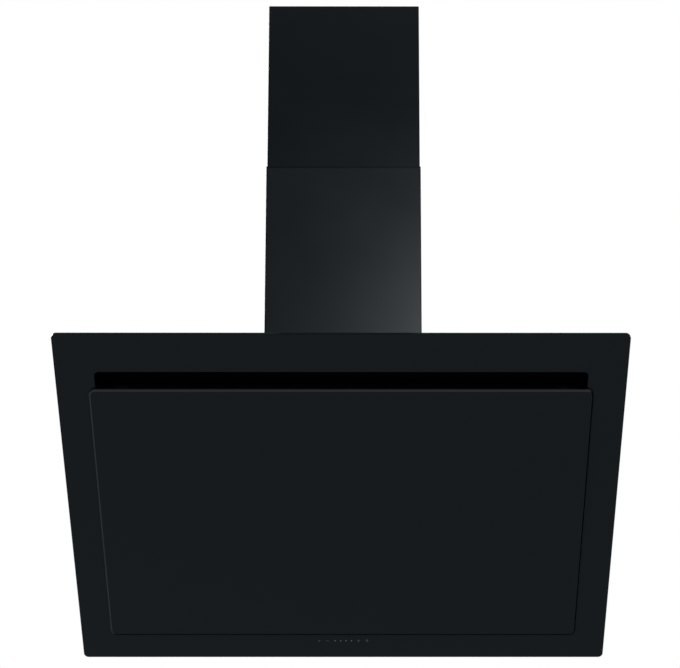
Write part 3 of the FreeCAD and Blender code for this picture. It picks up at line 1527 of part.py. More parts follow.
def electronics_case():
    """Open-fronted case for the power board, on the rear panel."""
    front = SHEET + CASE_DEPTH
    wall = CASE_WALL
    outer = wall_slab(CASE_LEFT, CASE_RIGHT, SHEET, front, CASE_LOW, CASE_TOP)
    inner = wall_slab(
        CASE_LEFT + wall, CASE_RIGHT - wall, SHEET + wall, front + OVERRUN, CASE_LOW + wall, CASE_TOP - wall
    )
    posts = []
    for x in (CASE_LEFT + POST_INSET, CASE_RIGHT - POST_INSET):
        for height in (CASE_LOW + POST_INSET, CASE_TOP - POST_INSET):
            posts.append(wall_rod(POST_RADIUS, (x, SHEET, height), (x, BOARD_REACH, height)))
    return fused([outer.cut(inner)] + posts)


def power_board():
    """Board on the case's posts, with its transformer, relays and terminal row."""
    gap = CASE_WALL + BOARD_GAP
    front = BOARD_REACH + BOARD_THICK
    board = wall_slab(CASE_LEFT + gap, CASE_RIGHT - gap, BOARD_REACH, front, CASE_LOW + gap, CASE_TOP - gap)
    left = CASE_LEFT + TRANSFORMER_LEFT
    low = CASE_LOW + TRANSFORMER_LOW
    parts = [
        wall_slab(
            left,
            left + TRANSFORMER_WIDTH,
            front,
            front + TRANSFORMER_DEPTH,
            low,
            low + TRANSFORMER_HEIGHT,
        )
    ]
    for i in range(RELAY_COUNT):
        left = CASE_LEFT + RELAY_LEFT
        low = CASE_LOW + RELAY_LOW + i * RELAY_PITCH
        parts.append(
            wall_slab(left, left + RELAY_WIDTH, front, front + RELAY_DEPTH, low, low + RELAY_HEIGHT)
        )
    right = CASE_RIGHT - TERMINAL_RIGHT
    low = CASE_LOW + TERMINAL_LOW
    parts.append(
        wall_slab(right - TERMINAL_WIDTH, right, front, front + TERMINAL_DEPTH, low, low + TERMINAL_HEIGHT)
    )
    return fused([board] + parts)


def electronics_lid():
    """Flat lid of the case, with a row of air slots."""
    back = SHEET + CASE_DEPTH
    lid = wall_slab(CASE_LEFT, CASE_RIGHT, back, back + CASE_WALL, CASE_LOW, CASE_TOP)
    slots = []
    for i in range(LID_SLOT_COUNT):
        left = CASE_LEFT + LID_SLOT_LEFT + i * LID_SLOT_PITCH
        slots.append(
            wall_slab(
                left,
                left + LID_SLOT_WIDTH,
                back - OVERRUN,
                back + CASE_WALL + OVERRUN,
                CASE_LOW + LID_SLOT_END,
                CASE_TOP - LID_SLOT_END,
            )
        )
    return cut(lid, slots)


def capacitor_rod(radius, x0, x1):
    """Cylinder about the capacitor's axis."""
    start = (x0, CAPACITOR_REACH, CAPACITOR_HEIGHT)
    return wall_rod(radius, start, (x1, CAPACITOR_REACH, CAPACITOR_HEIGHT))


def run_capacitor():
    """Motor capacitor: a can with its boss, held by a clip below the electronics case."""
    start = CASE_LEFT + CAPACITOR_LEFT
    end = start + CAPACITOR_LENGTH
    can = capacitor_rod(CAPACITOR_RADIUS, start, end)
    return fused([can, capacitor_rod(CAPACITOR_BOSS_RADIUS, end, end + CAPACITOR_BOSS)])


def capacitor_clip():
    """Band round the capacitor, on a foot against the rear panel."""
    left = CASE_LEFT + CAPACITOR_LEFT + (CAPACITOR_LENGTH - BAND_WIDTH) / 2
    right = left + BAND_WIDTH
    band = capacitor_rod(CAPACITOR_RADIUS + BAND_WALL, left, right)
    foot_low = CAPACITOR_HEIGHT - BAND_FOOT_LOW
    foot_high = CAPACITOR_HEIGHT + BAND_FOOT_HIGH
    foot = wall_slab(left, right, SHEET, SHEET + BAND_WALL, foot_low, foot_high)
    neck_half = BAND_WIDTH / 2
    neck = wall_slab(
        left, right, SHEET, CAPACITOR_REACH, CAPACITOR_HEIGHT - neck_half, CAPACITOR_HEIGHT + neck_half
    )
    hollow = capacitor_rod(CAPACITOR_RADIUS + FIT_CLEARANCE, left - OVERRUN, right + OVERRUN)
    return fused([band, foot, neck]).cut(hollow)


def gland_rod(radius, low, high):
    """Cylinder about the cable gland's axis."""
    return wall_rod(radius, (GLAND_X, GLAND_REACH, low), (GLAND_X, GLAND_REACH, high))


def cable_gland():
    """Mains cable gland in the top panel, inside the chimney, with its flange below the sheet."""
    under = BODY_TOP - SHEET
    low = under - GLAND_FLANGE_THICK
    top = low + GLAND_LENGTH
    flange = gland_rod(GLAND_RADIUS + GLAND_FLANGE, low, under)
    bore = gland_rod(GLAND_BORE, low - OVERRUN, top + OVERRUN)
    return fused([gland_rod(GLAND_RADIUS, low, top), flange]).cut(bore)


PAIRED = {
    "side_panel": side_panel,
    "hinge_arm": hinge_arm,
    "hinge_bracket": hinge_bracket,
    "magnet_holder": magnet_holder,
    "filter_frame": filter_frame,
    "filter_mesh": filter_mesh,
    "filter_latch": filter_latch,
    "scroll_half": scroll_half,
    "lamp_case": lamp_case,
    "lamp_lens": lamp_lens,
}

SINGLE = {
    "front_glass": front_glass,
    "glass_ring": glass_ring,
    "flap_glass": flap_glass,
    "flap_tray": flap_tray,
    "flap_bumpers": flap_bumpers,
    "rear_panel": rear_panel,
    "top_panel": top_panel,
    "bottom_panel": bottom_panel,
    "hang_plates": hang_plates,
    "hinge_pins": hinge_pins,
    "catch_magnets": catch_magnets,
    "ring_screws": ring_screws,
    "filter_carrier": filter_carrier,
    "lower_baffle": lower_baffle,
    "blower_wheel": blower_wheel,
    "motor_shaft": motor_shaft,
    "motor_body": motor_body,
    "motor_bushes": motor_bushes,
    "motor_bracket": motor_bracket,
    "motor_screws": motor_screws,
    "inlet_guard": inlet_guard,
    "outlet_gasket": outlet_gasket,
    "outlet_adapter": outlet_adapter,
    "outlet_screws": outlet_screws,
    "lower_chimney": lower_chimney,
    "upper_chimney": upper_chimney,
    "chimney_strip": chimney_strip,
    "chimney_screws": chimney_screws,
    "chimney_clips": chimney_clips,
    "lamp_boards": lamp_boards,
    "touch_module": touch_module,
    "electronics_case": electronics_case,
    "power_board": power_board,
    "electronics_lid": electronics_lid,
    "run_capacitor": run_capacitor,
    "capacitor_clip": capacitor_clip,
    "cable_gland": cable_gland,
}


def main():
    os.makedirs("parts", exist_ok=True)
    shapes = {name: make() for name, make in SINGLE.items()}
    shapes["damper_rear"] = damper(-1)
    shapes["damper_front"] = damper(1)
    for name, make in PAIRED.items():
        shapes[name + "_right"] = make()
        shapes[name + "_left"] = mirrored(shapes[name + "_right"])
    for name, shape in shapes.items():
        shape.exportStep("parts/" + name + ".step")
        print(name, len(shape.Solids), round(shape.Volume, 1), shape.isValid())


main()
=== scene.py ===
# Chimney range hood with an inclined black glass front and a hinged flap, hung on its two wall bolts.
import math

import bmesh
import bpy
from mathutils import Matrix, Vector


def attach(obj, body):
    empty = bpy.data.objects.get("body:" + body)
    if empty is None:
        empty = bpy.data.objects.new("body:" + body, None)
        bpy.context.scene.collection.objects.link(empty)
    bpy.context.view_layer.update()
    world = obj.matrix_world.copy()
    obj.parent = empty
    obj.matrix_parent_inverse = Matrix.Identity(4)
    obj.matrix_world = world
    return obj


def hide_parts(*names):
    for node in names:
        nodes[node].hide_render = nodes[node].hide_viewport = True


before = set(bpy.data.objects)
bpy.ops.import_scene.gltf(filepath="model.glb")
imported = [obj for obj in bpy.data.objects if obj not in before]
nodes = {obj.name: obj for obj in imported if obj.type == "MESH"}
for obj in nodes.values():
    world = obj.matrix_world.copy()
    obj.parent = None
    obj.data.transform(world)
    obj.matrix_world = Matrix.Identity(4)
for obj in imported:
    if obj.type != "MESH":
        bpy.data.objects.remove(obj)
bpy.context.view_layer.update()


# Camera. The photograph looks up at the hood from the height of the lower edge of its glass, three metres
# away and square to the wall. Its frame was cut a little off centre, which is the lens shift.
CAMERA_PLACE = Vector((0.0362, -2.9869, -0.3941))
CAMERA_PITCH = math.radians(10.94)
CAMERA_YAW = math.radians(-0.11)
PHOTO_WIDTH = 680
FOCAL_PIXELS = 1654.4
CROP_PIXELS = 27.7
SENSOR = 36.0
NEAREST = 0.05
FARTHEST = 60.0

lens = bpy.data.cameras.new("photo_lens")
lens.sensor_width = SENSOR
lens.lens = FOCAL_PIXELS * SENSOR / PHOTO_WIDTH
lens.shift_x = -CROP_PIXELS / PHOTO_WIDTH
lens.clip_start = NEAREST
lens.clip_end = FARTHEST
camera = bpy.data.objects.new("photo_camera", lens)
aim = Matrix.Rotation(CAMERA_YAW, 4, "Z") @ Matrix.Rotation(math.pi / 2 + CAMERA_PITCH, 4, "X")
camera.matrix_world = Matrix.Translation(CAMERA_PLACE) @ aim
bpy.context.collection.objects.link(camera)
bpy.context.scene.camera = camera
bpy.context.scene.view_settings.view_transform = "Standard"


# Studio. A plain pale floor that can be looked through from below, and a surround that is white to the
# camera and lights the hood as a dimmer, slightly cool room. Of the four soft lights the main one stands
# behind the camera to its right, with a wide one above it, one high on the left and one behind the hood.
FLOOR_HEIGHT = -1.60
FLOOR_SIZE = 60.0
FLOOR_GREY = (0.80, 0.80, 0.79)
FLOOR_GLOW = (0.74, 0.75, 0.76)
GLOW_SHARE = 0.6
WHITE = (1.0, 1.0, 1.0)
COOL_WHITE = (0.90, 0.98, 1.0)
ROOM_LIGHT = (0.30, 0.34, 0.37)

# A Mix node has five sockets for numbers and vectors between its factor and its two colours, and the mixed
# colour is its third output.
BEFORE_COLORS = (None,) * 5
MIXED_COLOR = 2


class Signal:
    """An output of a node that takes part in sums."""

    def __init__(self, tree, socket):
        self.tree = tree
        self.socket = socket

    def __add__(self, other):
        return self.tree.math("ADD", self, other)

    def __radd__(self, other):
        return self.tree.math("ADD", other, self)

    def __sub__(self, other):
        return self.tree.math("SUBTRACT", self, other)

    def __rsub__(self, other):
        return self.tree.math("SUBTRACT", other, self)

    def __mul__(self, other):
        return self.tree.math("MULTIPLY", self, other)

    def __rmul__(self, other):
        return self.tree.math("MULTIPLY", other, self)

    def __neg__(self):
        return self.tree.math("MULTIPLY", self, -1.0)

    def __abs__(self):
        return self.tree.math("ABSOLUTE", self)


class Tree:
    """A tree of nodes, with one way to add any node to it."""

    def __init__(self, tree):
        self.tree = tree

    def feed(self, socket, value):
        if isinstance(value, list):
            for each in value:
                self.feed(socket, each)
        elif isinstance(value, Signal):
            self.tree.links.new(value.socket, socket)
        elif value is not None:
            socket.default_value = value

    def node(self, kind, settings, *inputs, output=0, **named):
        """Adds a node: first its settings, then its inputs, by place or by name."""
        made = self.tree.nodes.new(kind)
        for key, value in settings.items():
            setattr(made, key, value)
        for socket, value in zip(made.inputs, inputs):
            self.feed(socket, value)
        for name, value in named.items():
            self.feed(made.inputs[name.replace("_", " ")], value)
        return Signal(self, made.outputs[output])

    def math(self, operation, *values):
        return self.node("ShaderNodeMath", {"operation": operation}, *values)


class Finish(Tree):
    """A material built round one Principled shader, whose constants sit on its own sockets."""

    def __init__(self, name, color, roughness, metallic=0.0, **sockets):
        self.material = bpy.data.materials.new(name)
        self.material.use_nodes = True
        super().__init__(self.material.node_tree)
        self.shader = self.tree.nodes["Principled BSDF"]
        self.color = color
        self.roughness = roughness
        self.set("Base Color", (*color, 1.0))
        self.set("Roughness", roughness)
        self.set("Metallic", metallic)
        for socket, value in sockets.items():
            self.set(socket.replace("_", " "), value)

    def set(self, socket, value):
        self.feed(self.shader.inputs[socket], value)

    def point(self):
        return self.node("ShaderNodeTexCoord", {}, output="Object")

    def along(self, axis):
        """How far a point lies along X, Y or Z."""
        return self.node("ShaderNodeSeparateXYZ", {}, self.point(), output=axis)

    def noise(self, scale, detail=2.0, place=None):
        return self.node("ShaderNodeTexNoise", {}, Vector=place or self.point(), Scale=scale, Detail=detail)

    def ramp(self, value, low, high):
        """0 below low, 1 above high, straight between them."""
        return self.node("ShaderNodeMapRange", {}, value, low, high, 0.0, 1.0)

    def blend(self, mask, first, second):
        """Sets the base colour to the first colour where a mask is 0 and the second where it is 1."""
        inputs = (mask, *BEFORE_COLORS, first, second)
        self.tinted = self.node("ShaderNodeMix", {"data_type": "RGBA"}, *inputs, output=MIXED_COLOR)
        self.set("Base Color", self.tinted)

    def tint(self, mask, darkest, lightest):
        """Base colour that runs with a mask between two shares of the finish's own colour."""
        first, second = ((*(c * share for c in self.color), 1.0) for share in (darkest, lightest))
        self.blend(mask, first, second)

    def over(self, mask, color):
        """Lays a second colour over the tint where a mask is 1."""
        self.blend(mask, self.tinted, (*color, 1.0))

    def uneven(self, mask, below, above):
        """Roughness that runs with a mask from a little below the finish's own to a little above it."""
        self.set("Roughness", self.roughness - below + (below + above) * mask)

    def bump(self, height, strength, distance):
        relief = self.node("ShaderNodeBump", {}, Strength=strength, Distance=distance, Height=height)
        self.set("Normal", relief)


def dress(finish, *names):
    """Gives carried-over pieces their finish."""
    for name in names:
        nodes[name].data.materials.clear()
        nodes[name].data.materials.append(finish.material)


floor_finish = Finish("pale_floor", FLOOR_GREY, roughness=0.7)
floor_finish.uneven(floor_finish.noise(3.0), below=0.05, above=0.05)
floor_glow = floor_finish.node("ShaderNodeEmission", {}, (*FLOOR_GLOW, 1.0))
floor_lit = Signal(floor_finish, floor_finish.shader.outputs["BSDF"])
to_camera = floor_finish.node("ShaderNodeLightPath", {}, output="Is Camera Ray")
top_side = floor_finish.node("ShaderNodeMixShader", {}, to_camera * GLOW_SHARE, floor_lit, floor_glow)
under_side = floor_finish.node("ShaderNodeBsdfTransparent", {})
turned_away = floor_finish.node("ShaderNodeNewGeometry", {}, output="Backfacing")
floor_shown = floor_finish.node("ShaderNodeMixShader", {}, turned_away, top_side, under_side)
floor_finish.feed(floor_finish.tree.nodes["Material Output"].inputs["Surface"], floor_shown)
bpy.ops.mesh.primitive_plane_add(size=FLOOR_SIZE, location=(0, 0, FLOOR_HEIGHT))
floor = bpy.context.object
floor.name = "studio_floor"
floor.data.materials.append(floor_finish.material)

world = bpy.data.worlds.new("studio_surround")
world.use_nodes = True
bpy.context.scene.world = world
surround = Tree(world.node_tree)
room = surround.tree.nodes["Background"]
room.inputs["Color"].default_value = (*ROOM_LIGHT, 1.0)
surround_shown = surround.node(
    "ShaderNodeMixShader",
    {},
    surround.node("ShaderNodeLightPath", {}, output="Is Camera Ray"),
    Signal(surround, room.outputs["Background"]),
    surround.node("ShaderNodeBackground", {}, (*WHITE, 1.0)),
)
surround.feed(surround.tree.nodes["World Output"].inputs["Surface"], surround_shown)


def softbox(name, place, target, size, power, tone=WHITE):
    light = bpy.data.lights.new(name, "AREA")
    light.color = tone
    light.shape = "RECTANGLE"
    light.size, light.size_y = size
    light.energy = power
    box = bpy.data.objects.new(name, light)
    direction = Vector(target) - Vector(place)
    turned = direction.to_track_quat("-Z", "Y").to_matrix().to_4x4()
    box.matrix_world = Matrix.Translation(Vector(place)) @ turned
    bpy.context.collection.objects.link(box)


softbox(
    "right_softbox", (0.85, -4.6, 0.78), target=(0, -0.3, 0.1), size=(0.5, 0.5), power=82, tone=COOL_WHITE
)
softbox("top_softbox", (0.0, -4.6, 3.0), target=(0, -0.3, 0.6), size=(3.0, 0.5), power=9)
softbox("left_softbox", (-2.6, -1.6, 2.4), target=(0, -0.2, 0.1), size=(1.8, 1.4), power=30)
softbox("rear_softbox", (-2.4, 3.4, 1.7), target=(0, -0.2, 0.1), size=(1.8, 1.4), power=110)


# Body. Folded and spot-welded 1 mm steel, powder coated satin black inside and out, with the ring that
# carries the glass and the partition that carries the filters. The top panel's front flange lies in shade
# behind the air slot, and its front strip is painted near black there as painted shade.
CLOUDINESS = 0.12
BODY_BLACK = (0.0058, 0.0068, 0.0078)
BODY_ROUGHNESS = 0.36
BODY_SHINE = 0.4
FLANGE_REACH = -0.440
FLANGE_BLEND = 0.004
FLANGE_PAINTED_SHADE = (0.0006, 0.0006, 0.0008)


def powder_coat(name, color, roughness, shine):
    """Baked powder paint: a fine orange peel, and a very slight cloudiness in its colour and gloss."""
    paint = Finish(name, color, roughness, Specular_IOR_Level=shine)
    cloud = paint.noise(9.0, detail=3.0)
    peel = paint.noise(1400.0, detail=1.0) + 0.6 * paint.noise(480.0, detail=1.0)
    paint.tint(cloud, darkest=1 - CLOUDINESS, lightest=1 + CLOUDINESS)
    paint.uneven(cloud, below=0.03, above=0.03)
    paint.bump(peel, strength=0.12, distance=0.00012)
    return paint


body_paint = powder_coat("satin_black_powder_coat", BODY_BLACK, BODY_ROUGHNESS, BODY_SHINE)
dress(
    body_paint,
    "glass_ring",
    "rear_panel",
    "side_panel_left",
    "side_panel_right",
    "bottom_panel",
)
# Painted shade: the filter partition and the lower baffle, seen in the dark of the air slot, take a darker
# and duller copy of the body's coat.
inner_shade_paint = powder_coat("matt_black_inner_coat", (0.0018, 0.0018, 0.0022), roughness=0.6, shine=0.06)
dress(inner_shade_paint, "filter_carrier", "lower_baffle")

top_paint = powder_coat("satin_black_top_panel", BODY_BLACK, BODY_ROUGHNESS, BODY_SHINE)
# Painted shade: the strip of the flange in front of FLANGE_REACH is painted near black and made metallic, so
# it takes no diffuse light and shows as the shade in the air slot.
flange = 1.0 - top_paint.ramp(top_paint.along("Y"), FLANGE_REACH - FLANGE_BLEND, FLANGE_REACH)
top_paint.over(flange, FLANGE_PAINTED_SHADE)
top_paint.set("Metallic", flange)
dress(top_paint, "top_panel")


# Screws of the glass ring. Six pan-head screws with a cross recess, zinc plated, driven from inside through
# the ring's flange into the side panels. Each stands on its own solid's seat.
SIDES = 24
GOLDEN_ANGLE = 2.4
MM_PER_METRE = 1000
TOUCHING = 1e-5

# Shares of the head's radius
RIM_SHARE = 0.95
RECESS_WIDTH_SHARE = 0.24
RECESS_LENGTH_SHARE = 1.2

# Shares of the head's height
DOME_SHARE = 0.4
RECESS_TALL_SHARE = 1.2
RECESS_MIDDLE_SHARE = 1.02
SHANK_LAP_SHARE = 0.2

TILT = math.radians(40)
INWARD = Vector((0, math.cos(TILT), math.sin(TILT)))


class Recipe(Tree):
    """A Geometry Nodes tree with named sizes, run once and left behind as a plain mesh."""

    def __init__(self, name):
        super().__init__(bpy.data.node_groups.new(name, "GeometryNodeTree"))
        for way in ("INPUT", "OUTPUT"):
            self.tree.interface.new_socket("Geometry", in_out=way, socket_type="NodeSocketGeometry")
        self.start = self.tree.nodes.new("NodeGroupInput")
        self.end = self.tree.nodes.new("NodeGroupOutput")
        self.points = Signal(self, self.start.outputs[0])
        self.slots = {}

    def size(self, name, kind="Float"):
        made = self.tree.interface.new_socket(name, in_out="INPUT", socket_type="NodeSocket" + kind)
        self.slots[name] = made.identifier
        return Signal(self, self.start.outputs[name])

    def close(self, shape):
        real = self.node("GeometryNodeRealizeInstances", {}, shape)
        coated = self.node("GeometryNodeSetMaterial", {}, real, Material=self.size("Finish", "Material"))
        self.feed(self.end.inputs[0], coated)

    def make(self, name, mesh, **sizes):
        host = bpy.data.objects.new(name, mesh)
        bpy.context.collection.objects.link(host)
        modifier = host.modifiers.new(name, "NODES")
        modifier.node_group = self.tree
        for key, value in sizes.items():
            modifier[self.slots[key.replace("_", " ")]] = value
        graph = bpy.context.evaluated_depsgraph_get()
        plain = bpy.data.meshes.new_from_object(host.evaluated_get(graph))
        host.modifiers.remove(modifier)
        host.data = plain
        return host


def transform(recipe, shape, **moves):
    return recipe.node("GeometryNodeTransform", {}, shape, **moves)


def vector(recipe, x, y, z):
    return recipe.node("ShaderNodeCombineXYZ", {}, x, y, z)


def boolean(recipe, operation, **shapes):
    return recipe.node("GeometryNodeMeshBoolean", {"operation": operation, "solver": "EXACT"}, **shapes)


def rod(recipe, radius, length, middle_height):
    upright_rod = recipe.node("GeometryNodeMeshCylinder", {}, Vertices=SIDES, Radius=radius, Depth=length)
    return transform(recipe, upright_rod, Translation=vector(recipe, 0, 0, middle_height))


# One screw is drawn in millimetres, standing on z = 0, and then put on each point along its "axis", turned
# a little further than the one before.
pan_head = Recipe("pan_head_screw")
head_radius = pan_head.size("Head Radius")
head_height = pan_head.size("Head Height")
dome_radius = pan_head.size("Dome Radius")
shank_radius = pan_head.size("Shank Radius")
shank_length = pan_head.size("Shank Length")
recess_width = pan_head.size("Recess Width")
blank = rod(pan_head, head_radius, head_height, head_height * 0.5)
ball = pan_head.node("GeometryNodeMeshUVSphere", {}, Segments=2 * SIDES, Rings=2 * SIDES, Radius=dome_radius)
dome = transform(pan_head, ball, Translation=vector(pan_head, 0, 0, head_height - dome_radius))
plain_head = boolean(pan_head, "INTERSECT", Mesh_2=[blank, dome])
recess_length = head_radius * RECESS_LENGTH_SHARE
recess_middle = vector(pan_head, 0, 0, head_height * RECESS_MIDDLE_SHARE)
bars = []
for long, wide in ((recess_length, recess_width), (recess_width, recess_length)):
    size = vector(pan_head, long, wide, head_height * RECESS_TALL_SHARE)
    cross_bar = pan_head.node("GeometryNodeMeshCube", {}, Size=size)
    bars.append(transform(pan_head, cross_bar, Translation=recess_middle))
cross = boolean(pan_head, "UNION", Mesh_2=bars)
head = boolean(pan_head, "DIFFERENCE", Mesh_1=plain_head, Mesh_2=cross)
shank = rod(
    pan_head,
    shank_radius,
    shank_length + head_height * SHANK_LAP_SHARE,
    head_height * (SHANK_LAP_SHARE / 2) - shank_length * 0.5,
)
screw = boolean(pan_head, "UNION", Mesh_2=[head, shank])
axis = pan_head.node("GeometryNodeInputNamedAttribute", {"data_type": "FLOAT_VECTOR"}, Name="axis")
upright = pan_head.node("FunctionNodeAlignRotationToVector", {"axis": "Z"}, Vector=axis)
turn = pan_head.node("GeometryNodeInputIndex", {}) * GOLDEN_ANGLE
spun = pan_head.node(
    "FunctionNodeRotateRotation",
    {"rotation_space": "LOCAL"},
    upright,
    pan_head.node("FunctionNodeAxisAngleToRotation", {}, (0.0, 0.0, 1.0), turn),
)
pan_head.close(
    pan_head.node(
        "GeometryNodeInstanceOnPoints",
        {},
        Points=pan_head.node("GeometryNodeMeshToPoints", {}, pan_head.points),
        Instance=screw,
        Rotation=spun,
        Scale=(1 / MM_PER_METRE,) * 3,
    )
)


def solids(name):
    """The separate solids of a group node, as lists of their corners, in the order of their places."""
    merged = bmesh.new()
    merged.from_mesh(nodes[name].data)
    bmesh.ops.remove_doubles(merged, verts=merged.verts, dist=TOUCHING)
    found = []
    left = set(merged.verts)
    while left:
        reached = [left.pop()]
        corners = []
        while reached:
            vert = reached.pop()
            corners.append(vert.co.copy())
            for edge in vert.link_edges:
                other = edge.other_vert(vert)
                if other in left:
                    left.remove(other)
                    reached.append(other)
        # Sorted, so that every run adds the corners up in the same order.
        found.append(sorted(corners, key=tuple))
    merged.free()
    return sorted(found, key=lambda corners: tuple(round(sum(v[i] for v in corners), 3) for i in range(3)))


def screws(name, body, finish, way):
    """Screws in place of a group node's solids; way gives the direction in which a solid's head looks."""
    places, axes = [], []
    for corners in solids(name):
        middle = sum(corners, Vector()) / len(corners)
        axis = way(middle)
        heights = [(c - middle).dot(axis) for c in corners]
        radii = [((c - middle) - axis * h).length for c, h in zip(corners, heights)]
        widest = max(radii)
        seat = min(h for h, r in zip(heights, radii) if r > RIM_SHARE * widest)
        places.append(middle + axis * seat)
        axes.append(axis)
    seats = bpy.data.meshes.new(name + "_seats")
    seats.from_pydata(places, [], [])
    directions = seats.attributes.new("axis", "FLOAT_VECTOR", "POINT")
    directions.data.foreach_set("vector", [c for axis in axes for c in axis])

    # The solids of a group are alike, so the last one gives the sizes of all.
    radius = MM_PER_METRE * widest
    height = MM_PER_METRE * (max(heights) - seat)
    rise = DOME_SHARE * height
    made = pan_head.make(
        name.replace("screws", "pan_heads"),
        seats,
        Head_Radius=radius,
        Head_Height=height,
        Dome_Radius=(radius * radius + rise * rise) / (2 * rise),
        Shank_Radius=MM_PER_METRE * min(r for r, h in zip(radii, heights) if h < seat - TOUCHING),
        Shank_Length=MM_PER_METRE * (seat - min(heights)),
        Recess_Width=RECESS_WIDTH_SHARE * radius,
        Finish=finish.material,
    )
    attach(made, body)
    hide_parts(name)


def plated(name, color, roughness):
    """Bare or plated metal with soft, slightly glossier blotches."""
    metal = Finish(name, color, roughness, metallic=1.0)
    blotch = metal.noise(55.0, detail=4.0)
    metal.tint(blotch, darkest=0.82, lightest=1.1)
    metal.uneven(blotch, below=0.06, above=0.10)
    metal.bump(metal.noise(900.0), strength=0.08, distance=0.0001)
    return metal


screw_metal = plated("bright_zinc_screws", (0.68, 0.68, 0.66), roughness=0.28)
screws("ring_screws", "hood", screw_metal, lambda middle: INWARD)


# Hanging plates, hinge parts, wall strip, clips and the motor's bracket. Pressed steel with a zinc plating
# that is slightly cloudy and blue, and turned pins of the same plating, bright.
zinc_plate = plated("zinc_plated_steel", (0.60, 0.62, 0.65), roughness=0.34)
dress(
    zinc_plate,
    "hang_plates",
    "hinge_bracket_left",
    "hinge_bracket_right",
    "hinge_arm_left",
    "hinge_arm_right",
    "chimney_strip",
    "chimney_clips",
    "motor_bracket",
    "capacitor_clip",
)
dress(screw_metal, "hinge_pins", "motor_shaft")


# Blower. The scroll and its wheel are galvanised sheet with a crystalline spangle; the motor has die-cast
# end bells and sintered bronze bushes, and three screws hold its bracket to the scroll.
SPANGLE = 0.011

galvanised = Finish("galvanised_sheet", (0.52, 0.54, 0.56), roughness=0.38, metallic=1.0)
crystals = galvanised.node(
    "ShaderNodeTexVoronoi", {"feature": "F1"}, Vector=galvanised.point(), Scale=1 / SPANGLE, output="Color"
)
spangle_grey = galvanised.node("ShaderNodeSeparateColor", {}, crystals)
galvanised.tint(spangle_grey, darkest=0.72, lightest=1.12)
galvanised.uneven(spangle_grey, below=0.08, above=0.08)
galvanised.bump(galvanised.noise(500.0), strength=0.05, distance=0.0001)
dress(galvanised, "scroll_half_left", "scroll_half_right", "blower_wheel")

cast = Finish("die_cast_aluminium", (0.50, 0.51, 0.52), roughness=0.5, metallic=1.0)
cast_grain = cast.noise(700.0, detail=3.0)
cast.tint(cast.noise(40.0), darkest=0.85, lightest=1.08)
cast.uneven(cast_grain, below=0.08, above=0.08)
cast.bump(cast_grain, strength=0.25, distance=0.0002)
dress(cast, "motor_body")

bronze = Finish("sintered_bronze", (0.50, 0.30, 0.13), roughness=0.45, metallic=1.0)
bronze.tint(bronze.noise(1500.0), darkest=0.8, lightest=1.15)
dress(bronze, "motor_bushes")

screws("motor_screws", "hood", screw_metal, lambda middle: Vector((1, 0, 0)))


# Moulded pieces: outlet adapter, dampers, inlet guard, touch tray, lamp cases, latches, catches and gland in
# matt black plastic, and the electronics case in white, all with a fine spark-eroded grain. With them are
# the pressed magnets, the rubber bumpers of the flap and the foam gasket and screws of the outlet.
def moulded(name, color, roughness, **sockets):
    plastic = Finish(name, color, roughness, **sockets)
    grain = plastic.noise(1100.0)
    plastic.tint(plastic.noise(22.0), darkest=0.9, lightest=1.1)
    plastic.uneven(grain, below=0.05, above=0.05)
    plastic.bump(grain, strength=0.2, distance=0.00015)
    return plastic


black_plastic = moulded("grained_black_plastic", (0.018, 0.018, 0.019), roughness=0.5)
dress(
    black_plastic,
    "outlet_adapter",
    "damper_rear",
    "damper_front",
    "inlet_guard",
    "touch_module",
    "lamp_case_left",
    "lamp_case_right",
    "filter_latch_left",
    "filter_latch_right",
    "cable_gland",
)
soot_plastic = moulded("matt_black_plastic", (0.003, 0.003, 0.0034), roughness=0.8, Specular_IOR_Level=0.08)
dress(soot_plastic, "magnet_holder_left", "magnet_holder_right")
white_plastic = moulded("grained_white_plastic", (0.72, 0.72, 0.70), roughness=0.55)
dress(white_plastic, "electronics_case", "electronics_lid")

ferrite = moulded("ferrite_magnet", (0.045, 0.045, 0.05), roughness=0.6)
dress(ferrite, "catch_magnets")
rubber = moulded("black_rubber", (0.02, 0.02, 0.02), roughness=0.75)
dress(rubber, "flap_bumpers")
foam = moulded("closed_cell_foam", (0.06, 0.06, 0.062), roughness=0.9)
dress(foam, "outlet_gasket")
screws("outlet_screws", "hood", screw_metal, lambda middle: Vector((0, 0, 1)))


# Electronics. A green power board and the lamps' diode strips, with a solder mask and finer copper tracks,
# and the motor's capacitor in a plain aluminium can.
board = Finish("green_circuit_board", (0.02, 0.14, 0.05), roughness=0.35)
tracks = board.node(
    "ShaderNodeTexVoronoi", {"feature": "DISTANCE_TO_EDGE"}, Vector=board.point(), Scale=220.0
)
between_tracks = board.ramp(tracks, low=0.05, high=0.12)
board.tint(between_tracks, darkest=1.6, lightest=0.9)
board.bump(between_tracks, strength=0.2, distance=0.0001)
dress(board, "power_board", "lamp_boards")

can = plated("aluminium_can", (0.62, 0.62, 0.63), roughness=0.3)
dress(can, "run_capacitor")


# Lamps. Frosted lenses over the diode strips, moulded in clear plastic with a fine grain and seated in the
# lamp cases in the underside of the body.
frosted = Finish("frosted_lens", (0.86, 0.87, 0.86), roughness=0.35, Transmission_Weight=0.6, IOR=1.49)
frosted.bump(frosted.noise(1800.0, detail=1.0), strength=0.3, distance=0.0001)
dress(frosted, "lamp_lens_left", "lamp_lens_right")


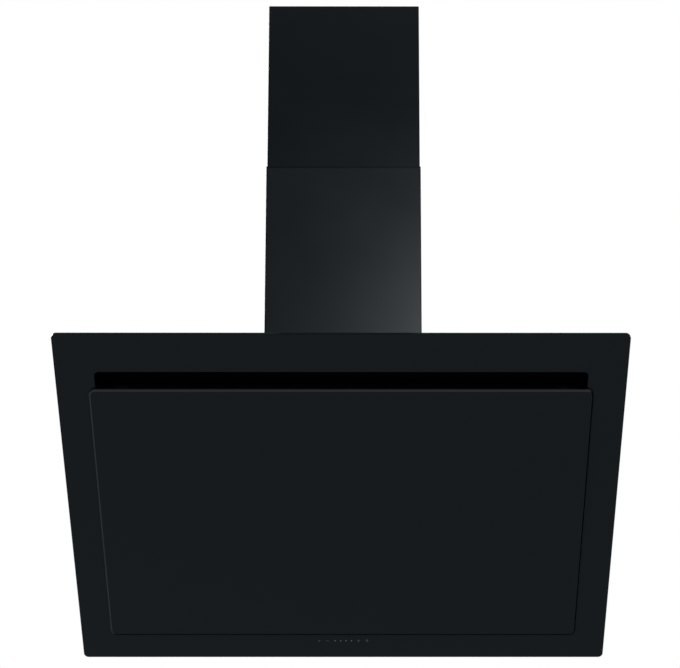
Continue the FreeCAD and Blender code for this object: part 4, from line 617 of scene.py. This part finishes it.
# Grease filters. Anodised frames round a mesh of expanded aluminium, each held by one sprung latch. A mesh
# is two layers of slit and stretched sheet: a row of its diamond cells is one zigzag strand, and every other
# row is turned half round, so that the strands meet at the corners of the cells.
BRUSH_STRETCH = (1, 24, 24)
NO_STRETCH = (1, 1, 1)
GLASS_FOOT_REACH = 0.0908
GLASS_FOOT_HEIGHT = -0.400038
MESH_LOW = 0.107
MESH_HIGH = 0.461
MESH_INNER = 0.018
MESH_OUTER = 0.304
MESH_PLAY = 0.001
CELLS_ACROSS = 22
CELLS_UP = 50
STRAND_WIDTH = 0.0019
STRAND_TILT = 0.5
SHEET_THICKNESS = 0.0005
FRONT_LAYER = -0.0394
BACK_LAYER = -0.0417
BACK_LAYER_SHARE = 0.985


def brushed(name, color, roughness, stretch):
    metal = Finish(name, color, roughness, metallic=1.0)
    place = metal.node("ShaderNodeMapping", {}, Vector=metal.point(), Scale=stretch)
    lines = metal.noise(60.0, detail=3.0, place=place)
    metal.tint(lines, darkest=0.86, lightest=1.06)
    metal.uneven(lines, below=0.06, above=0.08)
    metal.bump(lines, strength=0.06, distance=0.0001)
    return metal


def on_glass(x, rise, lift):
    """A point given by its rise along the tilted front and its lift off it."""
    reach = GLASS_FOOT_REACH + rise * math.sin(TILT) + lift * math.cos(TILT)
    return Vector((x, -reach, rise * math.cos(TILT) - lift * math.sin(TILT) + GLASS_FOOT_HEIGHT))


filter_metal = brushed("anodised_aluminium", (0.66, 0.67, 0.68), roughness=0.34, stretch=BRUSH_STRETCH)
dress(filter_metal, "filter_frame_left", "filter_frame_right")
mesh_metal = brushed("mesh_aluminium", (0.60, 0.61, 0.62), roughness=0.30, stretch=NO_STRETCH)

lattice = Recipe("expanded_metal")
row_length = lattice.size("Row Length")
row_step = lattice.size("Row Step")
row_count = lattice.size("Row Count", "Int")
corner_count = lattice.size("Corner Count", "Int")
strand_width = lattice.size("Strand Width")
sheet_thickness = lattice.size("Sheet Thickness")
layer_gap = lattice.size("Layer Gap")
mesh_middle = lattice.size("Middle", "Vector")
mesh_turned = lattice.size("Turned", "Vector")
odd = lattice.math("MODULO", lattice.node("GeometryNodeInputIndex", {}), 2.0)
straight = lattice.node(
    "GeometryNodeCurvePrimitiveLine",
    {"mode": "POINTS"},
    Start=vector(lattice, row_length * -0.5, 0, 0),
    End=vector(lattice, row_length * 0.5, 0, 0),
)
row = lattice.node("GeometryNodeResampleCurve", {"mode": "COUNT"}, Curve=straight, Count=corner_count)
zigzag = lattice.node(
    "GeometryNodeSetPosition", {}, Geometry=row, Offset=vector(lattice, 0, (odd - 0.5) * row_step, 0)
)
level = lattice.node("GeometryNodeSetCurveNormal", {"mode": "Z_UP"}, zigzag)
leaning = lattice.node("GeometryNodeSetCurveTilt", {}, Curve=level, Tilt=STRAND_TILT)
section = lattice.node(
    "GeometryNodeCurvePrimitiveQuadrilateral",
    {"mode": "RECTANGLE"},
    Width=strand_width,
    Height=sheet_thickness,
)
strand = lattice.node("GeometryNodeCurveToMesh", {}, Curve=leaning, Profile_Curve=section, Fill_Caps=True)
rungs = lattice.node(
    "GeometryNodeMeshLine",
    {"mode": "OFFSET"},
    Count=row_count,
    Start_Location=vector(lattice, 0, (row_count - 1.0) * row_step * -0.5, 0),
    Offset=vector(lattice, 0, row_step, 0),
)
front_layer = lattice.node(
    "GeometryNodeInstanceOnPoints",
    {},
    Points=rungs,
    Instance=strand,
    Rotation=vector(lattice, 0, 0, odd * math.pi),
)
back_layer = transform(
    lattice,
    front_layer,
    Translation=vector(lattice, 0, row_step * 0.5, -layer_gap),
    Scale=(BACK_LAYER_SHARE, BACK_LAYER_SHARE, 1.0),
)
both_layers = lattice.node("GeometryNodeJoinGeometry", {}, [front_layer, back_layer])
lattice.close(transform(lattice, both_layers, Translation=mesh_middle, Rotation=mesh_turned))

for side, sign in (("left", -1), ("right", 1)):
    sheet = lattice.make(
        "filter_lattice_" + side,
        bpy.data.meshes.new("filter_lattice_" + side),
        Row_Length=MESH_OUTER - MESH_INNER - MESH_PLAY,
        Row_Step=(MESH_HIGH - MESH_LOW) / (2 * CELLS_UP),
        Row_Count=2 * CELLS_UP,
        Corner_Count=2 * CELLS_ACROSS + 1,
        Strand_Width=STRAND_WIDTH,
        Sheet_Thickness=SHEET_THICKNESS,
        Layer_Gap=FRONT_LAYER - BACK_LAYER,
        Middle=on_glass(sign * (MESH_INNER + MESH_OUTER) / 2, (MESH_LOW + MESH_HIGH) / 2, FRONT_LAYER),
        Turned=(math.pi / 2 + TILT, 0.0, 0.0),
        Finish=mesh_metal.material,
    )
    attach(sheet, "hood")
    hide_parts("filter_mesh_" + side)


# Outer glass. A pane of 5 mm toughened glass, enamelled black behind, with a ground edge and a rounded
# window, bonded to the steel ring.
GLASS_BLACK = (0.0030, 0.0050, 0.0066)


def black_glass(name):
    pane = Finish(name, GLASS_BLACK, roughness=0.06, Specular_IOR_Level=0.12)
    haze = pane.noise(6.0)
    pane.uneven(haze, below=0.01, above=0.03)
    pane.tint(haze, darkest=0.97, lightest=1.03)
    return pane


outer_glass = black_glass("black_glass_outer")
dress(outer_glass, "front_glass")


# Touch marks. Eight small signs printed in grey enamel on the glass below the flap: power, less, four
# speeds, more and lamp. Each is a film of 0.04 mm.
MARK_RISE = 0.0362
MARK_LIFT = 0.00004
LINE = 0.0006
POWER_X = -0.0411
POWER_RADIUS = 0.0013
STEM_RISE = 0.0012
STEM_LENGTH = 0.0013
LESS_X = -0.0266
SPEED_XS = (-0.0139, -0.0045, 0.0048, 0.0140)
SPEED_RADIUS = 0.0012
MORE_X = 0.0260
BAR_LENGTH = 0.0050
LAMP_X = 0.0405
BULB_RADIUS = 0.0014
BULB_RISE = 0.0006
BASE_DROPS_AND_WIDTHS = ((0.0012, 0.0014), (0.0021, 0.0010))
ARC_STEPS = 24
FULL_TURN = 360.0

mark_ink = Finish("grey_printed_enamel", (0.085, 0.092, 0.100), roughness=0.45)
mark_ink.tint(mark_ink.noise(2500.0), darkest=0.85, lightest=1.1)
ink = bmesh.new()


def printed(outline):
    """A film on the glass inside a ring of points (x, rise)."""
    low = [ink.verts.new(on_glass(x, rise, 0)) for x, rise in outline]
    high = [ink.verts.new(on_glass(x, rise, MARK_LIFT)) for x, rise in outline]
    for i in range(len(outline)):
        j = (i + 1) % len(outline)
        ink.faces.new((low[i], low[j], high[j], high[i]))
    ink.faces.new(low)
    ink.faces.new(high)


def arc(x, rise, radius, start=0.0, sweep=FULL_TURN):
    """Points along an arc, without a second one where a full turn closes."""
    count = ARC_STEPS + (sweep < FULL_TURN)
    turns = [math.radians(start + sweep * i / ARC_STEPS) for i in range(count)]
    return [(x + radius * math.cos(t), rise + radius * math.sin(t)) for t in turns]


def bar(x, rise, wide, tall):
    left, right = x - wide / 2, x + wide / 2
    low, high = rise - tall / 2, rise + tall / 2
    printed([(left, low), (right, low), (right, high), (left, high)])


def open_ring(x, rise, radius, start, sweep):
    outer = arc(x, rise, radius + LINE / 2, start, sweep)
    inner = arc(x, rise, radius - LINE / 2, start, sweep)
    printed(outer + inner[::-1])


open_ring(POWER_X, MARK_RISE, POWER_RADIUS, start=125, sweep=290)
bar(POWER_X, MARK_RISE + STEM_RISE, wide=LINE, tall=STEM_LENGTH)
bar(LESS_X, MARK_RISE, wide=BAR_LENGTH, tall=LINE)
for speed_x in SPEED_XS:
    printed(arc(speed_x, MARK_RISE, SPEED_RADIUS))
bar(MORE_X, MARK_RISE, wide=BAR_LENGTH, tall=LINE)
arm_length = (BAR_LENGTH - LINE) / 2
for up_or_down in (1, -1):
    bar(MORE_X, MARK_RISE + up_or_down * (LINE + arm_length) / 2, wide=LINE, tall=arm_length)
open_ring(LAMP_X, MARK_RISE + BULB_RISE, BULB_RADIUS, start=-60, sweep=300)
for drop, base_width in BASE_DROPS_AND_WIDTHS:
    bar(LAMP_X, MARK_RISE - drop, wide=base_width, tall=LINE)
bmesh.ops.recalc_face_normals(ink, faces=ink.faces)
film = bpy.data.meshes.new("touch_marks")
ink.to_mesh(film)
ink.free()
film.materials.append(mark_ink.material)
touch_marks = bpy.data.objects.new("touch_marks", film)
bpy.context.collection.objects.link(touch_marks)
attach(touch_marks, "hood")


# Flap. A pane of 4 mm toughened glass like the outer one, bonded to a folded steel tray. Along its ground
# edge runs a painted highlight at the top and left, and a painted shadow over the gap at the right and
# below.
FLAP_HALF = 0.394
FLAP_LOW = 0.053
FLAP_TOP = 0.538
FLAP_CORNER = 0.010
FLAP_MIDDLE = (FLAP_LOW + FLAP_TOP) / 2
FLAP_HALF_RISE = (FLAP_TOP - FLAP_LOW) / 2
EDGE_BAND = 0.0026
EDGE_BLEND = 0.0004
EDGE_TURN = 0.01
EDGE_PAINTED_HIGHLIGHT = (0.026, 0.027, 0.029)
EDGE_PAINTED_SHADOW = (0.0004, 0.0005, 0.0006)

flap_pane = black_glass("black_glass_flap")


def larger(first, second):
    return flap_pane.math("MAXIMUM", first, second)


# How far a point lies inside the pane's rounded outline, as a negative length.
across = flap_pane.along("X")
above_foot = math.cos(TILT) * (flap_pane.along("Z") - GLASS_FOOT_HEIGHT)
before_foot = math.sin(TILT) * (flap_pane.along("Y") + GLASS_FOOT_REACH)
above_middle = above_foot - before_foot - FLAP_MIDDLE
past_side = abs(across) - (FLAP_HALF - FLAP_CORNER)
past_end = abs(above_middle) - (FLAP_HALF_RISE - FLAP_CORNER)
over_side = larger(past_side, 0.0)
over_end = larger(past_end, 0.0)
in_corner = flap_pane.math("SQRT", over_side * over_side + over_end * over_end)
inside = in_corner - larger(-larger(past_side, past_end), 0.0) - FLAP_CORNER

band = flap_pane.ramp(inside, -EDGE_BAND, EDGE_BLEND - EDGE_BAND)
to_light = above_middle * (1 / FLAP_HALF_RISE) - across * (1 / FLAP_HALF)
# The band along the edge is a painted highlight where it faces up and left, and a painted shadow, near black
# and made metallic, at the right and below.
highlight_edge = flap_pane.ramp(to_light, -EDGE_TURN, EDGE_TURN) * band
shadow_edge = band - highlight_edge
flap_pane.over(shadow_edge, EDGE_PAINTED_SHADOW)
flap_pane.over(highlight_edge, EDGE_PAINTED_HIGHLIGHT)
flap_pane.set("Metallic", shadow_edge)
dress(flap_pane, "flap_glass")
dress(body_paint, "flap_tray")


# Chimney covers. Two telescopic channels of 1 mm steel, powder coated satin black like the body but a little
# glossier. The lower one's folded top edge is painted dark as the joint's shadow, and two side screws hold
# the upper one to its wall strip.
COVER_SHEEN = 0.24
LOWER_BLACK = (0.0035, 0.0055, 0.0070)
UPPER_SHADED_BLACK = (0.0021, 0.0035, 0.0048)
JOINT_HEIGHT = 0.4246
JOINT_SHADOW_DEPTH = 0.0032
JOINT_SHADOW_BLEND = 0.0006
JOINT_SHADOW_METAL = 0.3
JOINT_SHADOW_BLACK = (0.0012, 0.0016, 0.0020)

lower_paint = powder_coat("satin_black_lower_cover", LOWER_BLACK, COVER_SHEEN + 0.01, shine=0.115)
# Painted shadow: a band at the top of the lower cover, just below the joint, is painted near black and
# partly metallic.
joint_shadow_start = JOINT_HEIGHT - JOINT_SHADOW_DEPTH
joint_shadow = lower_paint.ramp(lower_paint.along("Z"), joint_shadow_start, joint_shadow_start + JOINT_SHADOW_BLEND)
lower_paint.over(joint_shadow, JOINT_SHADOW_BLACK)
lower_paint.set("Metallic", JOINT_SHADOW_METAL * joint_shadow)
dress(lower_paint, "lower_chimney")
# Painted shade: the upper cover takes a copy of the lower cover's coat in a darker colour, which stands for
# the lesser light that falls on it.
upper_shaded_paint = powder_coat("satin_black_upper_cover", UPPER_SHADED_BLACK, COVER_SHEEN, shine=0.108)
dress(upper_shaded_paint, "upper_chimney")
screws(
    "chimney_screws", "upper_cover", screw_metal, lambda middle: Vector((math.copysign(1, middle.x), 0, 0))
)


def corners(box):
    return [list(corner) for corner in box]
